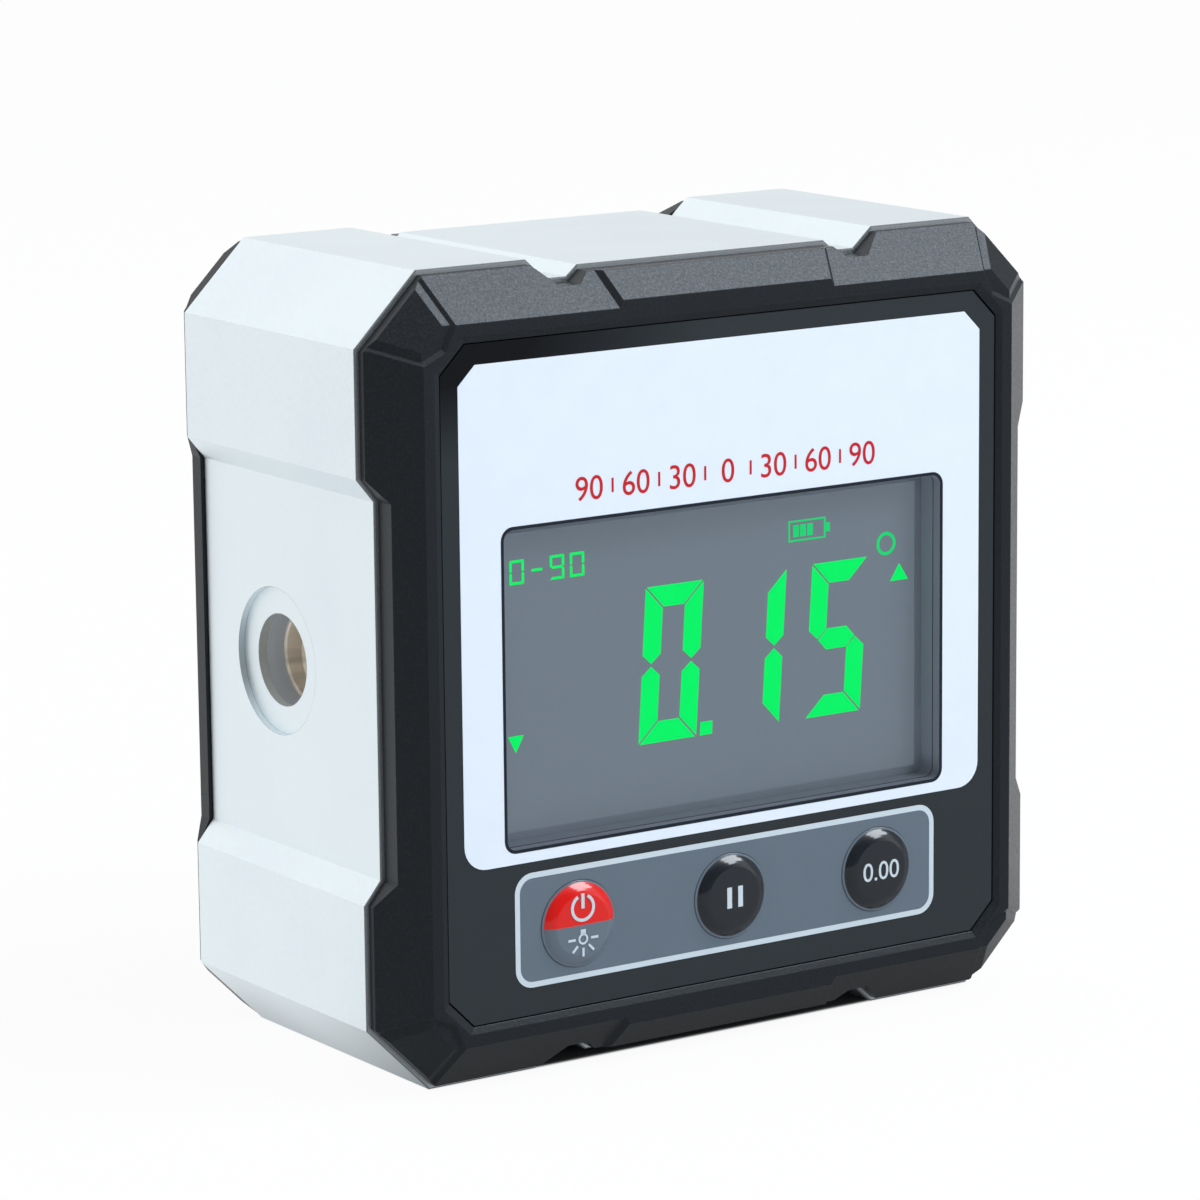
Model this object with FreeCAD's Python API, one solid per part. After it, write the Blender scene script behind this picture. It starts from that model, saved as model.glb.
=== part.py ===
import FreeCAD, Part
import math
import os

# A pocket digital inclinometer: an aluminium ring closed by two faceted plastic covers.
# Millimetres. X runs to the right of the display, Y from the display to the back, Z up.
# The origin lies at the middle of the footprint, level with the feet.

Vector = FreeCAD.Vector
past = 1.0                  # how far a cutting shape runs past what it cuts
hair = 0.01                 # lengths below this count as nothing

# ---- ring ----
body_depth = 24.0           # depth of the ring from seam to seam
corner_chamfer = 5.2
pad_length = 14.5           # from a side of the body to the end of its corner pad
pad_slope = 1.7             # run of the slope that ends a pad
side_recess = 1.4           # depth of the long recess in the left and right sides
notch_depth = 1.5           # depth of the two notches in the top and in the base
notch_floor = 1.8
plateau_drop = 0.7          # how far the middle of the top and base lies below the pads
plateau_slope = 0.95
pad_wall = 3.8              # wall of the ring behind a pad
inner_chamfer = 13.3        # inner corners are filled to carry the long screws
edge_break = 0.1

# ---- covers ----
cover_thickness = 3.3
cover_inset = 0.35          # how far the covers stay inside the ring's outline
cover_chamfer = 5.0
cover_land = 0.6            # straight side of a cover before its bevel starts
bevel_run = 3.3             # how far the bevel leans in towards the flat face
corner_land = 1.0           # straight side of the corner chamfers
corner_run = 2.4
middle_facet_rise = 0.57    # the bevel is raised in the middle of the top and the base
middle_step_flat = 9.6      # from the middle to the raised part's end, at the flat face
middle_step_rim = 10.6      # the same at the rim, because the steps lean outwards
corner_setback = 0.3        # each corner lies this much deeper than the rest
corner_step_flat = 6.4      # from a side of the body to the corner's step, at the flat face
corner_step_rim = 5.2
step_slope = 1.0            # how far the wall of a step runs outwards for its depth
region_front = 0.5          # the stepped regions start this far before the flat face
region_rear_gap = 0.1       # and end this far before the seam
rear_side_recess = 0.75     # the rear cover follows the ring's recesses only in part
rear_notch_depth = 0.9
rear_plateau_drop = 0.6
rear_chamfer = 4.6
skirt_thickness = 1.2
skirt_depth = 2.5
skirt_clearance = 0.15
skirt_half = 12.0

# ---- face plate and display ----
lip_width = 1.4             # flat rim between the bevel and the opening
opening_chamfer = 2.1
opening_break = 0.5         # small bevel round the opening's edge
opening_corner_break = 0.6
opening_break_depth = 0.2
plate_recess = 0.25
plate_thickness = 0.8
plate_clearance = 0.1
front_wall = 1.4            # wall of the bezel behind the face plate
window_width = 40.0
window_height = 24.1
window_bottom = 17.35
window_radius = 1.0
window_clearance = 0.05
window_ledge = 0.35
glass_thickness = 1.8
glass_border = 1.85         # the display's glass beyond the aperture, left and right
glass_border_z = 1.2
backlight_thickness = 2.6
backlight_ledge = 2.7       # strip of glass below the backlight for its contacts
backlight_clearance = 0.2
holder_wall = 1.6
holder_wall_z = 0.8
strip_height = 1.6
strip_inset = 0.35
holder_clearance = 0.1
holder_gap = 0.3            # least room between the display's holder and the ring and ribs

# ---- keys and their switches ----
key_radius = 3.25
key_proud = 0.65
key_shoulder = 0.1          # the rim's foot stands this far out of the plate
key_crown_radius = 2.3
key_crown_rise = 0.05       # how far the middle of the crown stands out from its edge
key_rim_radius = 3.1        # foot of the crown's sloping rim
key_rim_bulge = 0.06        # how far the rim's slope is rounded outwards
key_rim_steps = 4
key_spacing = 13.65
key_row_height = 11.4
key_clearance = 0.2
key_travel = 0.4
key_flange_radius = 4.0
key_flange = 0.7
key_nub_radius = 1.2
key_nub = 0.6
switch_size = 6.0
switch_height = 3.3
plunger_radius = 1.6
plunger_length = 1.7
plunger_clearance = 0.3
plunger_floor_gap = 0.2

# ---- circuit board ----
board_thickness = 1.6
board_edge_gap = 1.6
board_chamfer = 10.6
board_distance = 5.2        # from the back of the bezel's front wall to the board
post_radius = 2.0
post_hole_radius = 0.9
upper_post_x = 14.0
upper_post_drop = 9.5       # from the top of the body to the upper posts
lower_post_x = 6.83
lower_post_height = 7.6
chip_size = 7.0
chip_height = 1.0
chip_z = 36.0
sensor_size = 5.0
sensor_height = 1.5
sensor_x = 15.0
sensor_z = 31.0
capacitor_length = 1.6
capacitor_width = 0.8
capacitor_pitch = 4.0
capacitor_count = 4
capacitor_z = 24.0

# ---- screws ----
screw_inset = 8.2           # long screws from the sides of the body
screw_radius = 1.15
screw_hole_radius = 1.4
screw_head_radius = 2.1
screw_head = 1.4
screw_head_sunk = 0.5
screw_recess_width = 0.6
screw_recess_depth = 0.8
screw_recess_share = 0.6    # reach of the cross recess, as a share of the head's radius
screw_side_share = 0.55     # height of the head's straight side, as a share of its height
screw_top_share = 0.7       # radius of the head's flat top, as a share of its radius
screw_point_share = 0.6     # radius and length of the point, as a share of the shank's radius
head_clearance = 0.3
screw_post_radius = 2.4
screw_post_length = 5.5
screw_post_clearance = 0.1
pilot_clearance = 0.05
pilot_depth = 0.8           # how far the pilot hole runs into the bezel's corner
board_screw_radius = 0.85
board_screw_head_radius = 1.6
board_screw_head = 1.1
board_screw_bite = 3.0
board_pilot_spare = 1.0     # the pilot hole beyond the end of the screw

# ---- threaded port in the left side ----
port_y = 2.0
port_counterbore_radius = 5.5
port_counterbore = 0.5
port_hole_radius = 3.45
port_lip = 0.7              # wall left in front of the seal
port_seal_thickness = 1.5
insert_radius = 4.75
insert_length = 8.0
insert_bore_radius = 2.6    # minor radius of a quarter-inch, 20 threads per inch socket
insert_lead = 0.7
insert_clearance = 0.02
port_boss_wall = 1.55
port_boss_end = 9.0         # from the side of the body to the end of the boss

# ---- magnets in the base ----
magnet_radius = 4.0
magnet_height = 2.5
magnet_sunk = 0.1
magnet_x = 20.2
magnet_y = 6.0
magnet_clearance = 0.02

# ---- cells, their well and contacts ----
cell_radius = 5.25
cell_length = 43.5
cell_nub = 1.0
cell_nub_radius = 1.9
cell_edge = 0.5
cell_gap = 0.4
cell_clearance = 0.3
cell_rest_gap = 0.2
well_front = 9.4            # from the rear seam forward to the floor of the well
well_wall = 1.1
well_end_gap = 0.35         # between the ends of the well and the ring
well_ledge = 0.85           # cover's rim over the ends of the well
sheet = 0.4                 # thickness of the contact sheet
spring_room = 3.2
button_room = 1.0
contact_margin = 0.5
contact_reach = 1.0         # how far a contact plate reaches past the cell's button
contact_rear_gap = 0.5
contact_front_gap = 1.9
leg_width = 1.4
leg_drop = 4.4
leg_slot_gap = 0.2
leaf_width = 5.0
leaf_touch_gap = 0.05
leaf_return = 2.9
leaf_lift = 1.8

# ---- battery door ----
door_thickness = 1.5
door_gap = 0.3
door_ledge = 1.4
door_pin_radius = 0.45
door_pin_length = 1.5
door_pin_clearance = 0.08
door_pin_end_gap = 0.2
door_end_margin = 0.65      # from the inner end of the well to the end of the door's recess
tongue_half = 4.0
tongue_length = 8.0
tongue_slot = 0.8
grip_grooves = 4
grip_groove_width = 0.7
grip_groove_pitch = 1.3
grip_groove_depth = 0.5
grip_half = 3.0
nail_notch_radius = 4.0
nail_notch_depth = 0.9
nail_notch_reach = 0.6

# ---- places worked out from the sizes ----
well_half_z = (cell_length + cell_nub + spring_room + button_room + 2 * sheet) / 2
window_z = window_bottom + window_height / 2
aperture_half_x = window_width / 2 - window_ledge
aperture_half_z = window_height / 2 - window_ledge
glass_half_x = aperture_half_x + glass_border
glass_half_z = aperture_half_z + glass_border_z
holder_half_x = glass_half_x + holder_wall
holder_half_z = glass_half_z + holder_wall_z

# The ring is as wide inside as the cells' well, and the sides and corners of the holder, need.
corner_room = inner_chamfer + 2 * holder_gap
well_need = well_half_z + well_wall + well_end_gap
sides_need = holder_half_x + holder_gap + skirt_thickness + skirt_clearance
upper_need = (window_z + holder_half_z + holder_half_x + corner_room - pad_wall) / 3
lower_need = holder_half_x - (window_z - holder_half_z) + corner_room + pad_wall
inner_half = max(well_need, sides_need, upper_need, lower_need)
body_half = inner_half + pad_wall
body_size = 2 * body_half
middle_z = body_half
seam = body_depth / 2
face = seam + cover_thickness
cover_half = body_half - cover_inset
flat_half = cover_half - bevel_run
opening_half = flat_half - lip_width
side_slope = bevel_run / (cover_thickness - cover_land)
screw_offset = body_half - screw_inset

plate_front = -face + plate_recess
wall_front = plate_front + plate_thickness
wall_back = wall_front + front_wall
board_front = wall_back + board_distance
board_back = board_front + board_thickness
board_half = inner_half - board_edge_gap

glass_back = wall_back + glass_thickness

key_places = {"power_key": -key_spacing, "hold_key": 0.0, "zero_key": key_spacing}
key_bore = key_radius + key_clearance
flange_back = wall_back + key_flange
nub_back = flange_back + key_nub
switch_front = board_front - switch_height

cell_x = cell_radius + cell_gap / 2
well_half = cell_x + cell_radius + cell_clearance
contact_hold = cell_nub_radius + contact_reach
well_floor = seam - well_front
cell_y = well_floor + cell_rest_gap + cell_radius
well_low = middle_z - well_half_z
well_high = middle_z + well_half_z

door_seat = face - door_thickness
door_recess_half = well_half + door_ledge
door_half = door_recess_half - door_gap
door_recess_low = well_low - door_end_margin
door_recess_high = well_high + door_end_margin
door_low = door_recess_low + door_gap
door_high = door_recess_high - door_gap
hinge_y = face - door_thickness / 2
hinge_z = door_low + door_thickness / 2


# ---- small building helpers ----
def block(x0, x1, y0, y1, z0, z1):
    return Part.makeBox(x1 - x0, y1 - y0, z1 - z0, Vector(x0, y0, z0))


def rod_x(y, z, radius, x0, x1):
    return Part.makeCylinder(radius, x1 - x0, Vector(x0, y, z), Vector(1, 0, 0))


def rod_y(x, z, radius, y0, y1):
    return Part.makeCylinder(radius, y1 - y0, Vector(x, y0, z), Vector(0, 1, 0))


def rod_z(x, y, radius, z0, z1):
    return Part.makeCylinder(radius, z1 - z0, Vector(x, y, z0), Vector(0, 0, 1))


def prism_y(points, y0, y1):
    """Extrude a closed outline of (x, z) points from y0 to y1."""
    corners = [Vector(x, y0, z) for x, z in points]
    wire = Part.makePolygon(corners + corners[:1])
    return Part.Face(wire).extrude(Vector(0, y1 - y0, 0))


def turned(points, x, z):
    """Revolve a half profile of (radius, y) points about a line along Y through (x, z)."""
    corners = [Vector(x + radius, y, z) for radius, y in points]
    face_of_profile = Part.Face(Part.makePolygon(corners + corners[:1]))
    return face_of_profile.revolve(Vector(x, 0, z), Vector(0, 1, 0), 360)


def joined(shapes):
    whole = shapes[0].fuse(shapes[1:])
    return whole.removeSplitter()


def round_plate(half_x, z_middle, half_z, radius, y0, y1):
    """A flat plate with four rounded corners."""
    plate = block(-half_x, half_x, y0, y1, z_middle - half_z, z_middle + half_z)
    corners = [e for e in plate.Edges if abs(e.Vertexes[0].Point.y - e.Vertexes[1].Point.y) > hair]
    return plate.makeFillet(radius, corners)


def four_corners(offset):
    """Places of the four long screws, as (x, z)."""
    return [(sx * offset, middle_z + sz * offset) for sx in (-1, 1) for sz in (-1, 1)]


# ---- outlines ----
def square_outline(half, chamfer):
    flat = half - chamfer
    side = [(-flat, half), (flat, half)]
    return around(side, side)


def around(horizontal, vertical):
    """Lay a side's (along, out) points round the four sides, clockwise from the top."""
    top = [(u, middle_z + v) for u, v in horizontal]
    right = [(v, middle_z - u) for u, v in vertical]
    base = [(-u, middle_z - v) for u, v in horizontal]
    left = [(-v, middle_z + u) for u, v in vertical]
    return top + right + base + left


def body_outline(half, chamfer, recess, notch, plateau):
    """Outline with corner pads, side recesses, and notches beside a middle plateau."""
    pad_end = body_half - pad_length
    low_start = pad_end - pad_slope
    floor_end = low_start - notch_floor
    rise_end = floor_end - plateau_slope
    half_top = [(half - chamfer, half), (pad_end, half), (low_start, half - notch),
                (floor_end, half - notch), (rise_end, half - plateau)]
    half_side = [(half - chamfer, half), (pad_end, half), (low_start, half - recess)]
    top = [(-u, v) for u, v in half_top] + half_top[::-1]
    side = [(-u, v) for u, v in half_side] + half_side[::-1]
    return around(top, side)


# ---- aluminium ring ----
def make_body_frame():
    outside = body_outline(body_half, corner_chamfer, side_recess, notch_depth, plateau_drop)
    ring = prism_y(outside, -seam, seam)
    ends = [e for e in ring.Edges if abs(e.Vertexes[0].Point.y - e.Vertexes[1].Point.y) < hair]
    ring = ring.makeChamfer(edge_break, ends)
    hollow = prism_y(square_outline(inner_half, inner_chamfer), -seam - past, seam + past)
    ring = ring.cut(hollow)
    wall_out = -body_half + side_recess
    pocket_start = wall_out + port_counterbore + port_lip
    boss_end = -body_half + port_boss_end
    boss = rod_x(port_y, middle_z, insert_radius + port_boss_wall, pocket_start, boss_end)
    ring = joined([ring, boss])
    cuts = [rod_x(port_y, middle_z, port_counterbore_radius, wall_out - past, wall_out + port_counterbore),
            rod_x(port_y, middle_z, port_hole_radius, wall_out - past, pocket_start + past),
            rod_x(port_y, middle_z, insert_radius, pocket_start, boss_end + past)]
    post_pocket = screw_post_radius + screw_post_clearance
    for x, z in four_corners(screw_offset):
        cuts.append(rod_y(x, z, screw_hole_radius, -seam - past, seam + past))
        cuts.append(rod_y(x, z, post_pocket, -seam - past, -seam + screw_post_length + screw_post_clearance))
    for x in (-magnet_x, magnet_x):
        for y in (-magnet_y, magnet_y):
            cuts.append(rod_z(x, y, magnet_radius, -past, magnet_sunk + magnet_height))
    return ring.cut(cuts)


# ---- faceted covers ----
def at_depth(side, depth):
    """The y of a place that lies depth behind the flat face of a cover."""
    return side * (face - depth)


def bevel_wedge(reach, land, slope, turn, side):
    """All that lies outside one bevel, which starts at reach where the land ends."""
    low, high = land / 2, cover_thickness + past
    outer = reach + bevel_run
    profile = [(low, reach - slope * (low - land)), (high, reach - slope * (high - land)),
               (high, outer), (low, outer)]
    corners = [Vector(-body_half, side * (seam + w), middle_z + v) for w, v in profile]
    wedge = Part.Face(Part.makePolygon(corners + corners[:1])).extrude(Vector(body_size, 0, 0))
    wedge.rotate(Vector(0, 0, middle_z), Vector(0, 1, 0), turn)
    return wedge


def side_wedges(land, rise, side):
    """The bevels of the four sides; rise lifts those of the top and the base."""
    return [bevel_wedge(cover_half + (rise if turn % 180 == 0 else 0), land, side_slope, turn, side)
            for turn in (0, 90, 180, 270)]


def leaning_region(points, drift, turn, side):
    """Extrude (along, out) points from before the flat face back, drifting outwards on the way."""
    before, back = region_front, cover_thickness - region_rear_gap
    corners = []
    for u, v in points:
        lift = v - before * drift[1]
        corners.append(Vector(u - before * drift[0], at_depth(side, -before), middle_z + lift))
    path = Vector((back + before) * drift[0], -side * (back + before), (back + before) * drift[1])
    region = Part.Face(Part.makePolygon(corners + corners[:1])).extrude(path)
    region.rotate(Vector(0, 0, middle_z), Vector(0, 1, 0), turn)
    return region


def step_lean(flat_u, rim_u):
    """How fast a step's line moves along the side for each millimetre outwards, seen flat on."""
    return (rim_u - step_slope * (cover_thickness - cover_land) - flat_u) / bevel_run


def beside_middle(hand, turn, side):
    """The part of the top or the base beside its raised middle, on one hand."""
    lean = step_lean(middle_step_flat, middle_step_rim)
    low, high = flat_half - lip_width, body_half + past
    line = [(middle_step_flat + lean * (v - flat_half), v) for v in (low, high)]
    points = [line[0], (body_half, low), (body_half, high), line[1]]
    return leaning_region([(hand * u, v) for u, v in points], (hand * step_slope, 0), turn, side)


def corner_region(turn, side):
    """The part of a cover that lies beyond the two steps of one corner."""
    flat_u = body_half - corner_step_flat
    lean = step_lean(flat_u, body_half - corner_step_rim)
    inner = (flat_u - lean * flat_half) / (1 - lean)
    high = body_half + past
    along = flat_u + lean * (high - flat_half)
    points = [(inner, inner), (along, high), (high, high), (high, along)]
    drift = step_slope / (1 - lean)
    return leaning_region(points, (drift, drift), turn, side)


def make_cover_plate(outside, corner_reach, side):
    """A cover's plate, bevelled at three levels: raised middles, sides, and set-back corners."""
    near, far, corner_far = side * seam, side * face, side * (face - corner_setback)
    plate = prism_y(outside, min(near, far), max(near, far))
    plate = plate.cut(side_wedges(cover_land, middle_facet_rise, side))
    level = side_wedges(cover_land, 0, side)
    for turn in (0, 180):
        for hand in (-1, 1):
            plate = plate.cut(beside_middle(hand, turn, side).common(level[turn // 90]))
    lowered = prism_y(outside, min(near, corner_far), max(near, corner_far))
    lowered = lowered.cut(side_wedges(cover_land - corner_setback, 0, side))
    corner_depth = cover_thickness - corner_setback - corner_land
    for turn in (0, 90, 180, 270):
        plate = plate.cut(corner_region(turn, side).cut(lowered))
        plate = plate.cut(bevel_wedge(corner_reach, corner_land, corner_run / corner_depth, turn + 45, side))
    return plate


def skirt_ribs(y0, y1):
    """Four ribs that locate a cover inside the ring."""
    out = inner_half - skirt_clearance
    rib = block(-skirt_half, skirt_half, y0, y1, middle_z + out - skirt_thickness, middle_z + out)
    ribs = []
    for quarter in range(4):
        copy = rib.copy()
        copy.rotate(Vector(0, 0, middle_z), Vector(0, 1, 0), 90 * quarter)
        ribs.append(copy)
    return ribs


def chamfer_reach(chamfer):
    """Distance from the middle of a cover to its corner chamfers."""
    return (2 * cover_half - chamfer) / math.sqrt(2)


def opening_bevel():
    """Tapered ring that takes the edge off the opening, wider at its corners."""
    out = opening_half + opening_break
    chamfer = opening_chamfer + 2 * opening_break - opening_corner_break * math.sqrt(2)
    wires = []
    rear = -face + opening_break_depth
    for y, half, cut in ((-face, out, chamfer), (rear, opening_half, opening_chamfer)):
        corners = [Vector(x, y, z) for x, z in square_outline(half, cut)]
        wires.append(Part.makePolygon(corners + corners[:1]))
    return Part.makeLoft(wires, True, True)


def make_front_bezel():
    outside = body_outline(cover_half, cover_chamfer, side_recess, notch_depth, plateau_drop)
    plate = make_cover_plate(outside, chamfer_reach(cover_chamfer), -1)
    inside_step = skirt_clearance + skirt_thickness
    inside = square_outline(inner_half - inside_step, inner_chamfer - 2 * inside_step)
    cuts = [prism_y(square_outline(opening_half, opening_chamfer), -face - past, wall_front),
            opening_bevel(),
            prism_y(inside, wall_back, -seam + past),
            block(-aperture_half_x, aperture_half_x, -face, -seam,
                  window_z - aperture_half_z, window_z + aperture_half_z)]
    for x in key_places.values():
        cuts.append(rod_y(x, key_row_height, key_bore, -face, -seam))
    bezel = plate.cut(cuts)
    adds = skirt_ribs(-seam, -seam + skirt_depth)
    for x, z in four_corners(screw_offset):
        adds.append(rod_y(x, z, screw_post_radius, -seam, -seam + screw_post_length))
    for x, z in board_post_places():
        adds.append(rod_y(x, z, post_radius, wall_back, board_front))
    bezel = joined([bezel] + adds)
    pilots = []
    for x, z in four_corners(screw_offset):
        pilots.append(rod_y(x, z, screw_radius + pilot_clearance,
                            -seam - pilot_depth, -seam + screw_post_length))
    for x, z in board_post_places():
        pilot_end = board_front - board_screw_bite - board_pilot_spare
        pilots.append(rod_y(x, z, post_hole_radius, pilot_end, board_front))
    return bezel.cut(pilots)


def make_rear_cover():
    outside = body_outline(cover_half, rear_chamfer, rear_side_recess, rear_notch_depth, rear_plateau_drop)
    plate = make_cover_plate(outside, chamfer_reach(rear_chamfer), 1)
    well = block(-well_half - well_wall, well_half + well_wall, well_floor - well_wall, seam,
                 well_low - well_wall, well_high + well_wall)
    cover = joined([plate, well] + skirt_ribs(seam - skirt_depth, seam))
    cuts = [block(-well_half, well_half, well_floor, door_seat - well_wall, well_low, well_high),
            block(-well_half, well_half, well_floor, face + past,
                  well_low + well_ledge, well_high - well_ledge),
            block(-door_recess_half, door_recess_half, door_seat, face + past,
                  door_recess_low, door_recess_high)]
    for side in (-1, 1):
        end = side * (door_half + door_pin_length + door_pin_end_gap)
        x0, x1 = sorted((side * door_half, end))
        cuts.append(rod_x(hinge_y, hinge_z, door_pin_radius + door_pin_clearance, x0, x1))
        leg = side * (well_half - contact_margin - leg_width / 2)
        leg_half = leg_width / 2 + leg_slot_gap
        leg_z = well_high - leg_drop
        cuts.append(block(leg - leg_half, leg + leg_half, well_floor - well_wall - past, well_floor,
                          leg_z - sheet - leg_slot_gap, leg_z + leg_slot_gap))
    head_seat = face - screw_head_sunk - screw_head
    for x, z in four_corners(screw_offset):
        cuts.append(rod_y(x, z, screw_hole_radius, seam - past, face + past))
        cuts.append(rod_y(x, z, screw_head_radius + head_clearance, head_seat, face + past))
    notch_z = door_recess_high + nail_notch_reach - nail_notch_radius
    cuts.append(rod_y(0, notch_z, nail_notch_radius, face - nail_notch_depth, face + past))
    return cover.cut(cuts)


# ---- face plate and display ----
def make_face_plate():
    half = opening_half - plate_clearance
    plate = prism_y(square_outline(half, opening_chamfer), plate_front, wall_front)
    cuts = [round_plate(window_width / 2, window_z, window_height / 2, window_radius,
                        plate_front - past, wall_front + past)]
    for x in key_places.values():
        cuts.append(rod_y(x, key_row_height, key_bore, plate_front - past, wall_front + past))
    return plate.cut(cuts)


def make_display_window():
    return round_plate(window_width / 2 - window_clearance, window_z, window_height / 2 - window_clearance,
                       window_radius, plate_front, wall_front)


def make_lcd_glass():
    return block(-glass_half_x, glass_half_x, wall_back, glass_back,
                 window_z - glass_half_z, window_z + glass_half_z)


def backlight_block(y0, y1, grow):
    half_x = aperture_half_x + glass_border / 2 + grow
    low = window_z - glass_half_z + backlight_ledge - grow
    high = window_z + glass_half_z - backlight_clearance + grow
    return block(-half_x, half_x, y0, y1, low, high)


def strip_block(y0, y1, grow):
    low = window_z - glass_half_z + strip_inset
    half_x = aperture_half_x + grow
    return block(-half_x, half_x, y0, y1, low - grow, low + strip_height + grow)


def make_lcd_holder():
    frame = block(-holder_half_x, holder_half_x, wall_back, board_front,
                  window_z - holder_half_z, window_z + holder_half_z)
    pocket_x = glass_half_x + holder_clearance
    pocket_z = glass_half_z + holder_clearance
    pocket = block(-pocket_x, pocket_x, wall_back - past, glass_back,
                   window_z - pocket_z, window_z + pocket_z)
    return frame.cut([pocket, backlight_block(glass_back - past, board_front + past, holder_clearance),
                      strip_block(glass_back - past, board_front + past, holder_clearance)])


def make_lcd_backlight():
    return backlight_block(glass_back, glass_back + backlight_thickness, 0.0)


def make_contact_strip():
    return strip_block(glass_back, board_front, 0.0)


# ---- keys ----
def rounded_rim(foot, crown):
    """Points of the crown's sloping rim, from its foot in to the edge of the crown."""
    width = key_rim_radius - key_crown_radius
    height = foot - crown - key_crown_rise
    slope = math.hypot(width, height)
    points = []
    for step in range(key_rim_steps + 1):
        share = step / key_rim_steps
        bulge = 4 * key_rim_bulge * share * (1 - share) / slope
        points.append((key_rim_radius - width * share + height * bulge,
                       foot - height * share - width * bulge))
    return points


def make_key(x):
    shoulder = plate_front - key_shoulder
    crown = plate_front - key_proud
    profile = [(0, nub_back), (key_nub_radius, nub_back), (key_nub_radius, flange_back),
               (key_flange_radius, flange_back), (key_flange_radius, wall_back),
               (key_radius, wall_back), (key_radius, shoulder)]
    profile += rounded_rim(shoulder, crown)
    profile += [(key_crown_radius / 2, crown + key_crown_rise / 4), (0, crown)]
    return turned(profile, x, key_row_height)


def make_plunger(x):
    return rod_y(x, key_row_height, plunger_radius, nub_back, nub_back + plunger_length)


def make_key_switches():
    half = switch_size / 2
    bodies = []
    for x in key_places.values():
        body = block(x - half, x + half, switch_front, board_front,
                     key_row_height - half, key_row_height + half)
        well_end = nub_back + plunger_length + key_travel + plunger_floor_gap
        well = rod_y(x, key_row_height, plunger_radius + plunger_clearance, switch_front - past, well_end)
        bodies.append(body.cut(well))
    return Part.makeCompound(bodies)


# ---- circuit board ----
def board_post_places():
    places = []
    for side in (-1, 1):
        places.append((side * upper_post_x, body_size - upper_post_drop))
        places.append((side * lower_post_x, lower_post_height))
    return places


def make_main_board():
    board = prism_y(square_outline(board_half, board_chamfer), board_front, board_back)
    holes = [rod_y(x, z, post_hole_radius, board_front - past, board_back + past)
             for x, z in board_post_places()]
    return board.cut(holes)


def on_board(x, z, size_x, size_z, height):
    half_x, half_z = size_x / 2, size_z / 2
    return block(x - half_x, x + half_x, board_back, board_back + height, z - half_z, z + half_z)


def make_board_capacitors():
    first = -capacitor_pitch * (capacitor_count - 1) / 2
    row = []
    for i in range(capacitor_count):
        x = first + i * capacitor_pitch
        row.append(on_board(x, capacitor_z, capacitor_length, capacitor_width, capacitor_width))
    return Part.makeCompound(row)


# ---- screws ----
def screw(x, z, head_seat, head_radius, head_height, radius, tip):
    """A pan-head screw along Y: the head lies behind head_seat, the shank runs forward to tip."""
    crown = head_seat + head_height
    point = radius * screw_point_share
    profile = [(0, tip), (point, tip), (radius, tip + point), (radius, head_seat),
               (head_radius, head_seat), (head_radius, head_seat + head_height * screw_side_share),
               (head_radius * screw_top_share, crown), (0, crown)]
    body = turned(profile, x, z)
    arm = head_radius * screw_recess_share
    half = screw_recess_width / 2
    low = crown - screw_recess_depth
    cross = [block(x - arm, x + arm, low, crown + past, z - half, z + half),
             block(x - half, x + half, low, crown + past, z - arm, z + arm)]
    return body.cut(cross)


def make_cover_screws():
    head_seat = face - screw_head_sunk - screw_head
    tip = -seam - pilot_depth + 2 * pilot_clearance
    return Part.makeCompound([screw(x, z, head_seat, screw_head_radius, screw_head, screw_radius, tip)
                              for x, z in four_corners(screw_offset)])


def make_board_screws():
    tip = board_front - board_screw_bite
    return Part.makeCompound([screw(x, z, board_back, board_screw_head_radius, board_screw_head,
                                    board_screw_radius, tip) for x, z in board_post_places()])


# ---- threaded port ----
def port_start():
    return -body_half + side_recess + port_counterbore + port_lip


def make_port_seal():
    x0 = port_start()
    x1 = x0 + port_seal_thickness
    ring = rod_x(port_y, middle_z, insert_radius - insert_clearance, x0, x1)
    return ring.cut(rod_x(port_y, middle_z, port_hole_radius, x0 - past, x1 + past))


def make_thread_insert():
    x0 = port_start() + port_seal_thickness
    x1 = x0 + insert_length
    body = rod_x(port_y, middle_z, insert_radius - insert_clearance, x0, x1)
    lead = Part.makeCone(insert_bore_radius + insert_lead, insert_bore_radius, insert_lead,
                         Vector(x0, port_y, middle_z), Vector(1, 0, 0))
    bore = rod_x(port_y, middle_z, insert_bore_radius, x0 - past, x1 + past)
    return body.cut([lead, bore])


# ---- magnets ----
def make_base_magnets():
    radius = magnet_radius - magnet_clearance
    discs = [rod_z(x, y, radius, magnet_sunk, magnet_sunk + magnet_height)
             for x in (-magnet_x, magnet_x) for y in (-magnet_y, magnet_y)]
    return Part.makeCompound(discs)


# ---- cells and contacts ----
def make_cell(x, plus_up):
    """A cylindrical cell on end, with its plus button up or down."""
    half = (cell_length + cell_nub) / 2
    can = rod_z(x, cell_y, cell_radius, middle_z - half, middle_z - half + cell_length)
    rims = [e for e in can.Edges if isinstance(e.Curve, Part.Circle)]
    can = can.makeFillet(cell_edge, rims)
    nub = rod_z(x, cell_y, cell_nub_radius, middle_z - half + cell_length, middle_z + half)
    cell = joined([can, nub])
    if not plus_up:
        cell.rotate(Vector(x, cell_y, middle_z), Vector(0, 1, 0), 180)
    shift = (spring_room - button_room) / 2
    cell.translate(Vector(0, 0, shift if plus_up else -shift))
    return cell


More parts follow.
